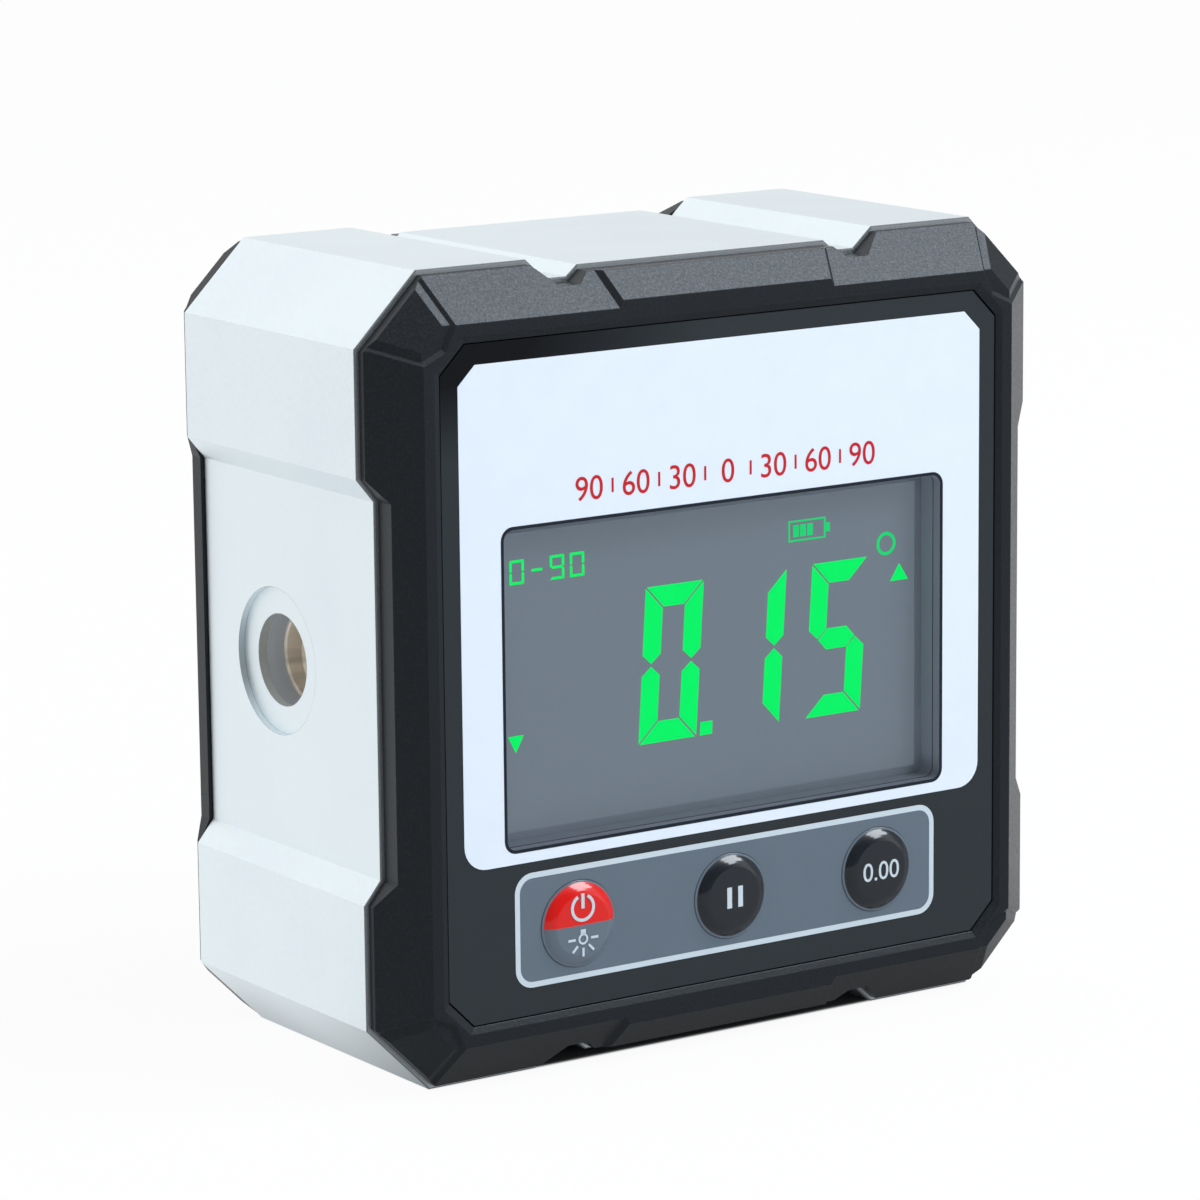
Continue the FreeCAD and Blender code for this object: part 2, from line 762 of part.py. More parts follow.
def bent_strip(points, x0, x1):
    """Sheet metal bent along (y, z) points, rounded at its bends, from x0 to x1."""
    pieces = []
    for (y0, z0), (y1, z1) in zip(points, points[1:]):
        length = math.hypot(y1 - y0, z1 - z0)
        piece = block(x0, x1, 0, length, -sheet / 2, sheet / 2)
        piece.rotate(Vector(0, 0, 0), Vector(1, 0, 0), math.degrees(math.atan2(z1 - z0, y1 - y0)))
        piece.translate(Vector(0, y0, z0))
        pieces.append(piece)
    for y, z in points[1:-1]:
        pieces.append(rod_x(y, z, sheet / 2, x0, x1))
    return joined(pieces)


def contact_plate(x0, x1, z0):
    return block(x0, x1, well_floor + contact_front_gap,
                 door_seat - well_wall - contact_rear_gap, z0, z0 + sheet)


def leaf_spring(x, root_z, touch_z):
    """A leaf that springs from the plate to the end of a cell and back part of the way."""
    toward = 1 if touch_z > root_z else -1
    rear = door_seat - well_wall - contact_rear_gap - sheet / 2
    tip_z = touch_z - toward * (sheet / 2 + leaf_touch_gap)
    points = [(rear, root_z), (cell_y, tip_z), (cell_y - leaf_return, tip_z - toward * leaf_lift)]
    return bent_strip(points, x - leaf_width / 2, x + leaf_width / 2)


def contact_leg(side):
    """Leg from a top plate down the well's floor and forward to the board."""
    edge = well_half - contact_margin
    x0, x1 = sorted((side * edge, side * (edge - leg_width)))
    top = well_high - sheet / 2
    front = well_floor + sheet / 2
    points = [(well_floor + contact_front_gap + sheet, top), (front, top),
              (front, well_high - leg_drop - sheet / 2), (board_back, well_high - leg_drop - sheet / 2)]
    return bent_strip(points, x0, x1)


def make_plus_contact():
    edge = well_half - contact_margin
    plate = contact_plate(-edge, -cell_x + contact_hold, well_high - sheet)
    dimple = rod_z(-cell_x, cell_y, cell_nub_radius, well_high - sheet - button_room, well_high - sheet)
    return joined([plate, dimple, contact_leg(-1)])


def make_minus_contact():
    edge = well_half - contact_margin
    plate = contact_plate(cell_x - contact_hold, edge, well_high - sheet)
    leaf = leaf_spring(cell_x, well_high - sheet / 2, well_high - sheet - spring_room)
    return joined([plate, leaf, contact_leg(1)])


def make_bridge_contact():
    edge = well_half - contact_margin
    plate = contact_plate(-edge, edge, well_low)
    leaf = leaf_spring(-cell_x, well_low + sheet / 2, well_low + sheet + spring_room)
    dimple = rod_z(cell_x, cell_y, cell_nub_radius, well_low + sheet, well_low + sheet + button_room)
    return joined([plate, leaf, dimple])


# ---- battery door ----
def make_battery_door():
    panel = block(-door_half, door_half, door_seat, face, hinge_z, door_high)
    end_round = rod_x(hinge_y, hinge_z, door_thickness / 2, -door_half, door_half)
    reach = door_half + door_pin_length
    pins = rod_x(hinge_y, hinge_z, door_pin_radius, -reach, reach)
    door = joined([panel, end_round, pins])
    cuts = []
    for x in (-tongue_half, tongue_half):
        cuts.append(block(x - tongue_slot / 2, x + tongue_slot / 2, door_seat - past, face + past,
                          door_high - tongue_length, door_high + past))
    for i in range(grip_grooves):
        z = door_high - tongue_length / 2 + (i - (grip_grooves - 1) / 2) * grip_groove_pitch
        cuts.append(block(-grip_half, grip_half, face - grip_groove_depth, face + past,
                          z - grip_groove_width / 2, z + grip_groove_width / 2))
    return door.cut(cuts)


def all_nodes():
    nodes = {
        "body_frame": make_body_frame(),
        "front_bezel": make_front_bezel(),
        "rear_cover": make_rear_cover(),
        "face_plate": make_face_plate(),
        "display_window": make_display_window(),
        "lcd_glass": make_lcd_glass(),
        "lcd_holder": make_lcd_holder(),
        "lcd_backlight": make_lcd_backlight(),
        "contact_strip": make_contact_strip(),
        "key_switches": make_key_switches(),
        "main_board": make_main_board(),
        "controller_chip": on_board(0, chip_z, chip_size, chip_size, chip_height),
        "tilt_sensor": on_board(sensor_x, sensor_z, sensor_size, sensor_size, sensor_height),
        "board_capacitors": make_board_capacitors(),
        "cover_screws": make_cover_screws(),
        "board_screws": make_board_screws(),
        "port_seal": make_port_seal(),
        "thread_insert": make_thread_insert(),
        "base_magnets": make_base_magnets(),
        "cell_left": make_cell(-cell_x, True),
        "cell_right": make_cell(cell_x, False),
        "plus_contact": make_plus_contact(),
        "minus_contact": make_minus_contact(),
        "bridge_contact": make_bridge_contact(),
        "battery_door": make_battery_door(),
    }
    for name, x in key_places.items():
        nodes[name] = make_key(x)
        nodes[name.replace("_key", "_plunger")] = make_plunger(x)
    return nodes


def main():
    os.makedirs("parts", exist_ok=True)
    for name, shape in all_nodes().items():
        if not shape.isValid():
            raise ValueError("the solid of " + name + " is not valid")
        shape.exportStep("parts/" + name + ".step")
        print(name, len(shape.Solids), round(shape.Volume, 1))


main()
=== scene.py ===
"""Looks of a pocket digital inclinometer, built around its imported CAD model.

Flat prints are drawn lying down in millimetres, X to the right and Y up the panel, and are
then stood up against the front of the instrument.
"""

import math

import bmesh
import bpy
from mathutils import Matrix, Vector


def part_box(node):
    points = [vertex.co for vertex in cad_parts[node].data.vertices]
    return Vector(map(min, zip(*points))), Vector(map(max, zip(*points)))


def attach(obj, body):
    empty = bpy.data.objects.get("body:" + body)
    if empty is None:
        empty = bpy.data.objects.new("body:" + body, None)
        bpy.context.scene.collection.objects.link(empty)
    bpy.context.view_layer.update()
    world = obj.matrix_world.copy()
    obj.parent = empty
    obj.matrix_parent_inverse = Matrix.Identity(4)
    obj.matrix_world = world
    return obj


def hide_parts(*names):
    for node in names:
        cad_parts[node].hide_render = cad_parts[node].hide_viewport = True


bl_info = {
    "name": "Pocket Inclinometer",
    "version": (1, 0, 0),
    "blender": (4, 5, 0),
    "location": "3D View > Sidebar > Inclinometer",
    "description": "Dresses the pocket inclinometer with its finishes, prints and stage",
    "category": "Object",
}

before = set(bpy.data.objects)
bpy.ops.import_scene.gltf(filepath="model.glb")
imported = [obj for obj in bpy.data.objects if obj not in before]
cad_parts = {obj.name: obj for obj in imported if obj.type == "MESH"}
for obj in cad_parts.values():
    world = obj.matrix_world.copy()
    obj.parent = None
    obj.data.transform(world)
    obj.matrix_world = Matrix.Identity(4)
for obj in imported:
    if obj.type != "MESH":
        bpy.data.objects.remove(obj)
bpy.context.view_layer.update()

MM = 0.001
INK = 0.03 * MM             # thickness of a print
PLATE_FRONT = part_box("face_plate")[0].y
GLASS_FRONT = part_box("lcd_glass")[0].y
KEY_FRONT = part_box("power_key")[0].y

# sizes that stay as they are, in millimetres
KEY_RADIUS = 3.25           # of the part that stands in the plate
KEY_GAP = 0.04              # from the key to the print round it
KEY_PRINT_RADIUS = 3.08     # of the dark and red prints on the keys
KEY_PRINT_BLUR = 0.03       # half the width of the prints' edges
SIGN_DEPTH = 0.16           # of the signs on the crowned keys
WINDOW_ROUND = 1.0          # rounding of the window's corners
HAIR = 0.02                 # clear of a neighbour

KEYS = ("power_key", "hold_key", "zero_key")


def middle_of(node):
    """Middle of a node across and up the panel, in millimetres."""
    low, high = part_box(node)
    return (low.x + high.x) / 2 / MM, (low.z + high.z) / 2 / MM


def tone(red, green, blue):
    """Scene-linear colour of a tone given in 0 to 255 display values."""
    def linear(value):
        value /= 255
        return value / 12.92 if value <= 0.04045 else ((value + 0.055) / 1.055) ** 2.4
    return (linear(red), linear(green), linear(blue))


def colour_property(name, description, default):
    return bpy.props.FloatVectorProperty(
        name=name, description=description, subtype="COLOR", size=3, min=0, max=1, default=default
    )


def length_property(name, description, millimetres):
    return bpy.props.FloatProperty(
        name=name, description=description, unit="LENGTH", precision=5, min=0, default=millimetres * MM
    )


# ---- sizes and colours that a user may change ----
class InclinometerColours(bpy.types.PropertyGroup):
    ring: colour_property("Ring", "Blasted aluminium of the ring", (0.86, 0.94, 1.0))
    cover: colour_property("Covers", "Moulded plastic of the covers and the door", (0.0085, 0.0110, 0.0140))
    plate: colour_property("Plate", "Bare surface of the face plate", (0.026, 0.033, 0.038))
    panel: colour_property("Panel", "White print round the display", tone(226, 236, 248))
    keypad: colour_property("Keypad", "Grey print under the keys", tone(100, 113, 126))
    line: colour_property("Lines", "Pale line round the keypad and signs on the keys", tone(200, 213, 222))
    red: colour_property("Red", "Red print of the power key", tone(222, 26, 22))
    scale: colour_property("Scale", "Red print of the scale", tone(198, 24, 36))
    key: colour_property("Keys", "Dark print on the keys", tone(31, 36, 42))
    display: colour_property("Display", "Face of the display glass", tone(124, 136, 148))
    digit: colour_property("Digits", "Lit segments of the display", (0.0, 0.91, 0.14))
    sign: colour_property("Signs", "Fainter signs of the display", (0.01, 0.68, 0.18))
    brass: colour_property("Brass", "Threaded insert", (1.0, 0.89, 0.74))


class InclinometerPrints(bpy.types.PropertyGroup):
    panel_half: length_property("Panel half width", "Middle to side of the white print", 23.4)
    panel_low: length_property("Panel bottom", "Height of the lower edge of the white print", 16.6)
    panel_high: length_property("Panel top", "Height of the upper edge of the white print", 53.35)
    panel_chamfer: length_property("Panel chamfer", "Cut of the upper corners", 1.45)
    panel_radius: length_property("Panel radius", "Rounding of the lower corners", 1.9)
    window_line: length_property("Window line", "Width of the dark line round the window", 0.25)
    keypad_half: length_property("Keypad half width", "Middle to side of the grey print", 19.15)
    keypad_low: length_property("Keypad bottom", "Height of the lower edge of the keypad", 7.2)
    keypad_high: length_property("Keypad top", "Height of the upper edge of the keypad", 15.8)
    keypad_radius: length_property("Keypad radius", "Rounding of the keypad's corners", 1.5)
    keypad_line: length_property("Keypad line", "Width of the pale line round the keypad", 0.42)
    scale_base: length_property("Scale height", "Height of the foot of the scale's numbers", 42.65)
    scale_size: length_property("Scale size", "Height of the scale's numbers", 1.75)
    scale_pitch: length_property("Scale pitch", "Distance between the scale's numbers", 4.1)


class InclinometerReading(bpy.types.PropertyGroup):
    value: bpy.props.StringProperty(name="Reading", description="Number on the display", default="0.15")
    height: length_property("Digit height", "Height of a digit", 11.75)
    width: length_property("Digit width", "Width of a digit", 5.2)
    stroke: length_property("Digit stroke", "Width of a segment", 1.6)
    pitch: length_property("Digit pitch", "Distance from digit to digit", 7.6)
    base: length_property("Digit foot", "Height of the foot of the digits", 23.35)
    slant: bpy.props.FloatProperty(
        name="Slant", description="Lean of the digits to the right", unit="ROTATION",
        default=math.radians(3.8),
    )


class InclinometerStage(bpy.types.PropertyGroup):
    floor: colour_property("Floor", "Pale floor", (0.88, 0.89, 0.90))
    lamp: bpy.props.FloatProperty(
        name="Overhead lamp", description="Power of the soft lamp above", unit="POWER", min=0, default=6.8
    )
    sky: bpy.props.FloatProperty(
        name="Surroundings", description="Level of the soft light all round", default=0.616
    )


class InclinometerSettings(bpy.types.PropertyGroup):
    colours: bpy.props.PointerProperty(type=InclinometerColours)
    prints: bpy.props.PointerProperty(type=InclinometerPrints)
    reading: bpy.props.PointerProperty(type=InclinometerReading)
    stage: bpy.props.PointerProperty(type=InclinometerStage)


def settings():
    return bpy.context.scene.inclinometer


# ---- drawing flat prints ----
def sheet(bm, x0, x1, y0, y1, cuts=((0, 1), (0, 1))):
    """Lay down a rectangle. cuts gives (size, steps) of its upper and its lower corners."""
    middle = (y0 + y1) / 2
    spread = Matrix.Diagonal((x1 - x0, y1 - y0, 1, 1))
    place = Matrix.Translation(((x0 + x1) / 2, middle, 0)) @ spread
    made = bmesh.ops.create_grid(bm, x_segments=1, y_segments=1, size=0.5, matrix=place)["verts"]
    upper = [v for v in made if v.co.y > middle]
    lower = [v for v in made if v.co.y < middle]
    for corners, (size, steps) in zip((upper, lower), cuts):
        if size:
            bmesh.ops.bevel(
                bm, geom=corners, offset=size, offset_type="OFFSET", segments=steps,
                profile=0.5, affect="VERTICES", material=-1,
            )
    return bm


def hollow(bm, width, last=False):
    """Keep only a border of that width of each face, or only of the last face made."""
    inner = bm.faces[:]
    if last:
        inner = inner[-1:]
    bmesh.ops.inset_individual(bm, faces=inner, thickness=width, use_even_offset=True)
    bmesh.ops.delete(bm, geom=inner, context="FACES")
    return bm


def disc(bm, x, y, radius, steps=48):
    place = Matrix.Translation((x, y, 0))
    bmesh.ops.create_circle(bm, cap_ends=True, radius=radius, segments=steps, matrix=place)
    return bm


def filled(bm):
    """Fill the outlines, leaving the outlines inside them open."""
    bmesh.ops.delete(bm, geom=bm.faces[:], context="FACES_ONLY")
    bmesh.ops.triangle_fill(bm, use_beauty=True, use_dissolve=False, edges=bm.edges[:], normal=(0, 0, 1))
    return bm


def patch(bm, points):
    """A small flat patch from a few corners."""
    bm.faces.new([bm.verts.new((x, y, 0)) for x, y in points])
    return bm


def block(bm, left, right, foot, top):
    """A small flat rectangle."""
    return patch(bm, [(left, foot), (right, foot), (right, top), (left, top)])


def bar(bm, start, end, width):
    """A straight stroke with square ends."""
    a, b = Vector(start), Vector(end)
    side = (b - a).normalized().orthogonal() * width / 2
    return patch(bm, [tuple(p) for p in (a + side, a - side, b - side, b + side)])


def number(bm, text, x, y, height):
    """Plain figures centred on x, standing on y."""
    curve = bpy.data.curves.new("figures", "FONT")
    curve.body = text
    curve.align_x = "CENTER"
    curve.size = 1
    maker = bpy.data.objects.new("figures", curve)
    bpy.context.scene.collection.objects.link(maker)
    bpy.context.view_layer.update()
    mesh = bpy.data.meshes.new_from_object(maker.evaluated_get(bpy.context.evaluated_depsgraph_get()))
    tall = max(v.co.y for v in mesh.vertices)
    mesh.transform(Matrix.Translation((x, y, 0)) @ Matrix.Scale(height / tall, 4))
    bm.from_mesh(mesh)
    bpy.data.objects.remove(maker)
    bpy.data.curves.remove(curve)
    bpy.data.meshes.remove(mesh)
    return bm


def stand(bm, front, depth=INK):
    """Give flat work its thickness and stand it against the instrument, its foremost face at front."""
    bmesh.ops.recalc_face_normals(bm, faces=bm.faces)
    for face in bm.faces:
        if face.normal.z < 0:
            face.normal_flip()
    bottom = bmesh.ops.extrude_face_region(bm, geom=bm.faces[:], use_keep_orig=True)["geom"]
    moved = [g for g in bottom if isinstance(g, bmesh.types.BMVert)]
    bmesh.ops.translate(bm, vec=(0, 0, -depth / MM), verts=moved)
    bmesh.ops.recalc_face_normals(bm, faces=bm.faces)
    bmesh.ops.scale(bm, vec=(MM, MM, MM), verts=bm.verts)
    bmesh.ops.rotate(bm, cent=(0, 0, 0), matrix=Matrix.Rotation(math.radians(90), 3, "X"), verts=bm.verts)
    bmesh.ops.translate(bm, vec=(0, front, 0), verts=bm.verts)
    return bm


def piece(bm, name, material, body="housing"):
    """Make the mesh a flat-shaded piece of the instrument that rides on a body."""
    mesh = bpy.data.meshes.new(name)
    bm.to_mesh(mesh)
    bm.free()
    for polygon in mesh.polygons:
        polygon.use_smooth = False
    made = bpy.data.objects.new(name, mesh)
    bpy.context.scene.collection.objects.link(made)
    mesh.materials.append(material)
    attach(made, body)
    return made


# ---- finishes ----
def shader(name, colour, roughness, metallic=0.0, specular=0.5, **more):
    material = bpy.data.materials.new(name)
    material.use_nodes = True
    surface = material.node_tree.nodes["Principled BSDF"]
    surface.inputs["Base Color"].default_value = (*colour, 1)
    surface.inputs["Roughness"].default_value = roughness
    surface.inputs["Metallic"].default_value = metallic
    surface.inputs["Specular IOR Level"].default_value = specular
    for socket, value in more.items():
        surface.inputs[socket.replace("_", " ")].default_value = value
    return material


def surface_of(material):
    return material.node_tree.nodes["Principled BSDF"].inputs


def node(material, kind, values=None, **links):
    """Add a node, set its properties and sockets by name or number, and link sockets into it."""
    made = material.node_tree.nodes.new(kind)
    for socket, value in (values or {}).items():
        if isinstance(socket, str) and hasattr(made, socket):
            setattr(made, socket, value)
        else:
            made.inputs[socket].default_value = value
    for socket, source in links.items():
        material.node_tree.links.new(source, made.inputs[socket.replace("_", " ")])
    return made


def spot(material):
    """Where a point lies on the object, in metres."""
    return node(material, "ShaderNodeTexCoord").outputs["Object"]


def height_of(material, place):
    """The upward part of a place."""
    return node(material, "ShaderNodeSeparateXYZ", Vector=place).outputs["Z"]


def grain(material, size, detail=3.0, stretch=(1, 1, 1)):
    """Noise of that grain size, in metres, fixed to the object."""
    mapped = node(material, "ShaderNodeMapping", {"Scale": stretch}, Vector=spot(material)).outputs[0]
    values = {"Scale": 1 / size, "Detail": detail}
    return node(material, "ShaderNodeTexNoise", values, Vector=mapped).outputs[0]


def between(material, value, low, high, to_low=0.0, to_high=1.0):
    limits = {"From Min": low, "From Max": high, "To Min": to_low, "To Max": to_high}
    return node(material, "ShaderNodeMapRange", limits, Value=value).outputs[0]


def ramp(tree, value, start, end, at_start, at_end):
    """A soft step from one level to another as the value goes from start to end."""
    step = tree.nodes.new("ShaderNodeMapRange")
    step.interpolation_type = "SMOOTHSTEP"
    limits = {"From Min": start, "From Max": end, "To Min": at_start, "To Max": at_end}
    for socket, limit in limits.items():
        step.inputs[socket].default_value = limit
    tree.links.new(value, step.inputs["Value"])
    return step.outputs[0]


def sums(tree, operation, *values):
    """One step of arithmetic on sockets and numbers."""
    step = tree.nodes.new("ShaderNodeMath")
    step.operation = operation
    for index, value in enumerate(values):
        if isinstance(value, bpy.types.NodeSocket):
            tree.links.new(value, step.inputs[index])
        else:
            step.inputs[index].default_value = value
    return step.outputs[0]


def tint(material, amount, low, high):
    """Go from one colour to another by an amount. Both may be colours or sockets."""
    mix = material.node_tree.nodes.new("ShaderNodeMix")
    mix.data_type = "RGBA"
    material.node_tree.links.new(amount, mix.inputs[0])
    for index, shade in ((6, low), (7, high)):
        if isinstance(shade, bpy.types.NodeSocket):
            material.node_tree.links.new(shade, mix.inputs[index])
        else:
            mix.inputs[index].default_value = (*shade, 1)
    return mix.outputs[2]


def into(material, source, socket):
    material.node_tree.links.new(source, surface_of(material)[socket])


def relief(material, height, depth, edge=0.0):
    """Fine relief of that depth, over edges softened by a radius."""
    links = {"Height": height}
    if edge:
        links["Normal"] = node(material, "ShaderNodeBevel", {"samples": 6, "Radius": edge}).outputs[0]
    bump = node(material, "ShaderNodeBump", {"Distance": depth}, **links)
    into(material, bump.outputs["Normal"], "Normal")
    return material


def at_edges(material, radius, first=0.97, full=0.80):
    """A mask that is 1 on sharp edges and 0 elsewhere. Slighter edges than first don't count."""
    soft = node(material, "ShaderNodeBevel", {"samples": 6, "Radius": radius}).outputs[0]
    true = node(material, "ShaderNodeNewGeometry").outputs["True Normal"]
    dot = node(material, "ShaderNodeVectorMath", {"operation": "DOT_PRODUCT"})
    material.node_tree.links.new(soft, dot.inputs[0])
    material.node_tree.links.new(true, dot.inputs[1])
    return between(material, dot.outputs["Value"], first, full)


def brighter(colour, factor):
    return tuple(min(1.0, channel * factor) for channel in colour)


def blasted_aluminium_painted_shade(colour):
    """Fine blasted grain, with painted shade on the narrow cut bevels of both ends and on sharp edges."""
    material = shader("blasted_aluminium_painted_shade", colour, 0.5, metallic=1.0)
    tree = material.node_tree
    fine = grain(material, 0.22 * MM)
    soft = grain(material, 9 * MM, detail=2)
    cloud = tint(material, soft, brighter(colour, 0.97), brighter(colour, 1.04))
    here = node(material, "ShaderNodeTexCoord").outputs
    endways, along = (
        sums(tree, "ABSOLUTE", node(material, "ShaderNodeSeparateXYZ", Vector=here[way]).outputs["Y"])
        for way in ("Normal", "Object")
    )
    bevel = 0.12 * MM
    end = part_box("body_frame")[1].y
    at_end = between(material, along, end - bevel, end - bevel + HAIR * MM)
    slanted = sums(tree, "COMPARE", endways, 0.7, 0.2)
    cut = sums(tree, "MULTIPLY", slanted, at_end)
    # painted shade: the cut bevels and sharp edges take 0.4 of the ring's colour
    dark = sums(tree, "MAXIMUM", cut, at_edges(material, bevel, 0.90, 0.76))
    into(material, tint(material, dark, cloud, brighter(colour, 0.4)), "Base Color")
    into(material, between(material, fine, 0.3, 0.7, 0.45, 0.57), "Roughness")
    return relief(material, fine, 0.005 * MM, edge=0.06 * MM)


def textured_plastic(colour):
    material = shader("textured_plastic", colour, 0.42, specular=0.47, Specular_Tint=(0.88, 0.94, 1.0, 1))
    spark = grain(material, 0.18 * MM, detail=2)
    # edges lighter, partly as wear and partly as a painted highlight where edges catch the light
    wear_and_edge_highlight = at_edges(material, 0.08 * MM)
    base = tint(material, between(material, spark, 0.45, 0.7), colour, brighter(colour, 1.5))
    into(material, tint(material, wear_and_edge_highlight, base, brighter(colour, 1.6)), "Base Color")
    facing = node(material, "ShaderNodeLayerWeight", {"Blend": 0.5}).outputs["Facing"]
    smoother = between(material, facing, 0.70, 1.0, 0.0, -0.16)
    satin = between(material, spark, 0.3, 0.7, 0.34, 0.48)
    into(material, sums(material.node_tree, "ADD", satin, smoother), "Roughness")
    return relief(material, spark, 0.014 * MM, edge=0.09 * MM)


def smooth_plastic(name, colour, roughness=0.3, specular=0.3, cloud_size=3 * MM):
    """Moulded or printed plastic with faint unevenness."""
    material = shader(name, colour, roughness, specular=specular)
    cloud = grain(material, cloud_size, detail=3)
    into(material, tint(material, cloud, brighter(colour, 0.97), brighter(colour, 1.03)), "Base Color")
    into(material, between(material, cloud, 0.3, 0.7, roughness * 0.9, roughness * 1.1), "Roughness")
    return relief(material, grain(material, 0.4 * MM), 0.0015 * MM)


def shaded_plate(colour):
    """Glossy plate that falls into shade under the upper left corner of the cover's opening."""
    material = smooth_plastic("plate_gloss", colour, 0.16, 0.35)
    low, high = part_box("face_plate")
    shade = (0.001, 0.002, 0.004)
    across, down = 1 / (22 * MM), 1 / (8 * MM)      # one over the reach of the shade each way
    corner = {"Location": (-low.x * across, 0, -high.z * down), "Scale": (across, 0, down)}
    away = node(material, "ShaderNodeMapping", corner, Vector=spot(material)).outputs[0]
    far = node(material, "ShaderNodeVectorMath", {"operation": "LENGTH"}, Vector=away).outputs["Value"]
    lit = between(material, far, 0.35, 1.05)
    into(material, tint(material, lit, shade, colour), "Base Color")
    return material


def backlit_glass(colour):
    """Grey display glass, lit in part evenly from behind."""
    material = smooth_plastic("display_glass", brighter(colour, 0.5), 0.35, 0.2, cloud_size=12 * MM)
    surface_of(material)["Emission Color"].default_value = (*colour, 1)
    surface_of(material)["Emission Strength"].default_value = 0.4
    return material


def lit_segments(name, colour):
    material = shader(name, (0, 0.02, 0.005), 0.4, specular=0.1, Emission_Strength=1.0)
    surface_of(material)["Emission Color"].default_value = (*colour, 1)
    cloud = grain(material, 2 * MM)
    into(material, tint(material, cloud, brighter(colour, 0.94), colour), "Emission Color")
    return material


def clear_window():
    """Clear acrylic: what is behind shows through, with gloss that grows towards the rim of the view."""
    material = shader("clear_window", (0.9, 0.93, 0.95), 0.06)
    tree = material.node_tree
    gloss = node(material, "ShaderNodeLayerWeight", {"Blend": 0.10}).outputs["Fresnel"]
    seen = between(material, gloss, 0.0, 1.0, 0.0, 0.85)
    clear = tree.nodes.new("ShaderNodeBsdfTransparent")
    mirror = node(material, "ShaderNodeBsdfGlossy", {"Roughness": 0.05}).outputs[0]
    mix = tree.nodes.new("ShaderNodeMixShader")
    tree.links.new(seen, mix.inputs[0])
    tree.links.new(clear.outputs[0], mix.inputs[1])
    tree.links.new(mirror, mix.inputs[2])
    tree.links.new(mix.outputs[0], tree.nodes["Material Output"].inputs["Surface"])
    return material


def turned_metal(name, colour, roughness=0.25, size=0.3 * MM, stretch=(1, 1, 1)):
    material = shader(name, colour, roughness, metallic=1.0)
    marks = grain(material, size, detail=4, stretch=stretch)
    into(material, tint(material, marks, brighter(colour, 0.8), brighter(colour, 1.15)), "Base Color")
    into(material, between(material, marks, 0.3, 0.7, roughness * 0.7, roughness * 1.4), "Roughness")
    return relief(material, marks, 0.004 * MM)


def bright_brass(colour):
    """Brass with soft light, and bands along the bore painted lighter and darker as reflections of the
    turned bore.
    """
    material = shader("bright_brass", colour, 0.3, metallic=0.2)
    reflection_streaks = between(material, grain(material, 1.1 * MM, detail=1, stretch=(0.15, 1, 1)), 0.42, 0.58)
    # painted reflection: bands between 0.72 of the colour and the full colour
    into(material, tint(material, reflection_streaks, brighter(colour, 0.72), colour), "Base Color")
    into(material, between(material, reflection_streaks, 0.0, 1.0, 0.38, 0.30), "Roughness")
    return material


def dress(material, *nodes):
    """Give CAD nodes their finish."""
    for name in nodes:
        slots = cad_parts[name].material_slots
        for place in slots:
            place.material = material
        if not slots:
            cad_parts[name].data.materials.append(material)


# ---- pieces ----
class PieceOperator:
    bl_options = {"REGISTER", "UNDO"}


class INCLINOMETER_OT_ring(PieceOperator, bpy.types.Operator):
    """Blasted aluminium on the ring"""
    bl_idname = "inclinometer.ring"
    bl_label = "Ring"

    def execute(self, context):
        dress(blasted_aluminium_painted_shade(settings().colours.ring), "body_frame")
        return {"FINISHED"}


class INCLINOMETER_OT_covers(PieceOperator, bpy.types.Operator):
    """Textured plastic on both covers and the battery door"""
    bl_idname = "inclinometer.covers"
    bl_label = "Covers and door"

    def execute(self, context):
        dress(textured_plastic(settings().colours.cover), "front_bezel", "rear_cover", "battery_door")
        return {"FINISHED"}


class INCLINOMETER_OT_panel(PieceOperator, bpy.types.Operator):
    """Face plate with its white print, window line and keypad print"""
    bl_idname = "inclinometer.panel"
    bl_label = "Face plate and prints"

    def execute(self, context):
        colours, prints = settings().colours, settings().prints
        dress(shaded_plate(colours.plate), "face_plate")
        low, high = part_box("display_window")
        window = (low.x / MM, high.x / MM, low.z / MM, high.z / MM)
        window_cuts = ((WINDOW_ROUND, 6), (WINDOW_ROUND, 6))
        front = PLATE_FRONT - INK
        line_front = front - INK / 3

        bm = bmesh.new()
        half = prints.panel_half / MM
        cuts = ((prints.panel_chamfer / MM, 1), (prints.panel_radius / MM, 8))
        sheet(bm, -half, half, prints.panel_low / MM, prints.panel_high / MM, cuts)
        sheet(bm, *window, window_cuts)
        white = smooth_plastic("white_print", colours.panel, 0.22, 0.35)
        piece(stand(filled(bm), front), "white_panel", white)

        bm = bmesh.new()
        sheet(bm, *window, window_cuts)
        hollow(bm, prints.window_line / MM)
        dark = smooth_plastic("dark_print", tone(30, 38, 48), 0.25, 0.3)
        piece(stand(bm, line_front), "window_line", dark)

        bm = bmesh.new()
        half, low, high = prints.keypad_half / MM, prints.keypad_low / MM, prints.keypad_high / MM
        round_cut = (prints.keypad_radius / MM, 8)
        sheet(bm, -half, half, low, high, (round_cut, round_cut))
        for key in KEYS:
            disc(bm, *middle_of(key), KEY_RADIUS + KEY_GAP)
        grey = smooth_plastic("grey_print", colours.keypad, 0.34, 0.3)
        piece(stand(filled(bm), front), "keypad_panel", grey)

        bm = bmesh.new()
        sheet(bm, -half, half, low, high, (round_cut, round_cut))
        hollow(bm, prints.keypad_line / MM)
        pale = smooth_plastic("pale_print", colours.line, 0.34, 0.3)
        piece(stand(bm, line_front), "keypad_line", pale)
        return {"FINISHED"}


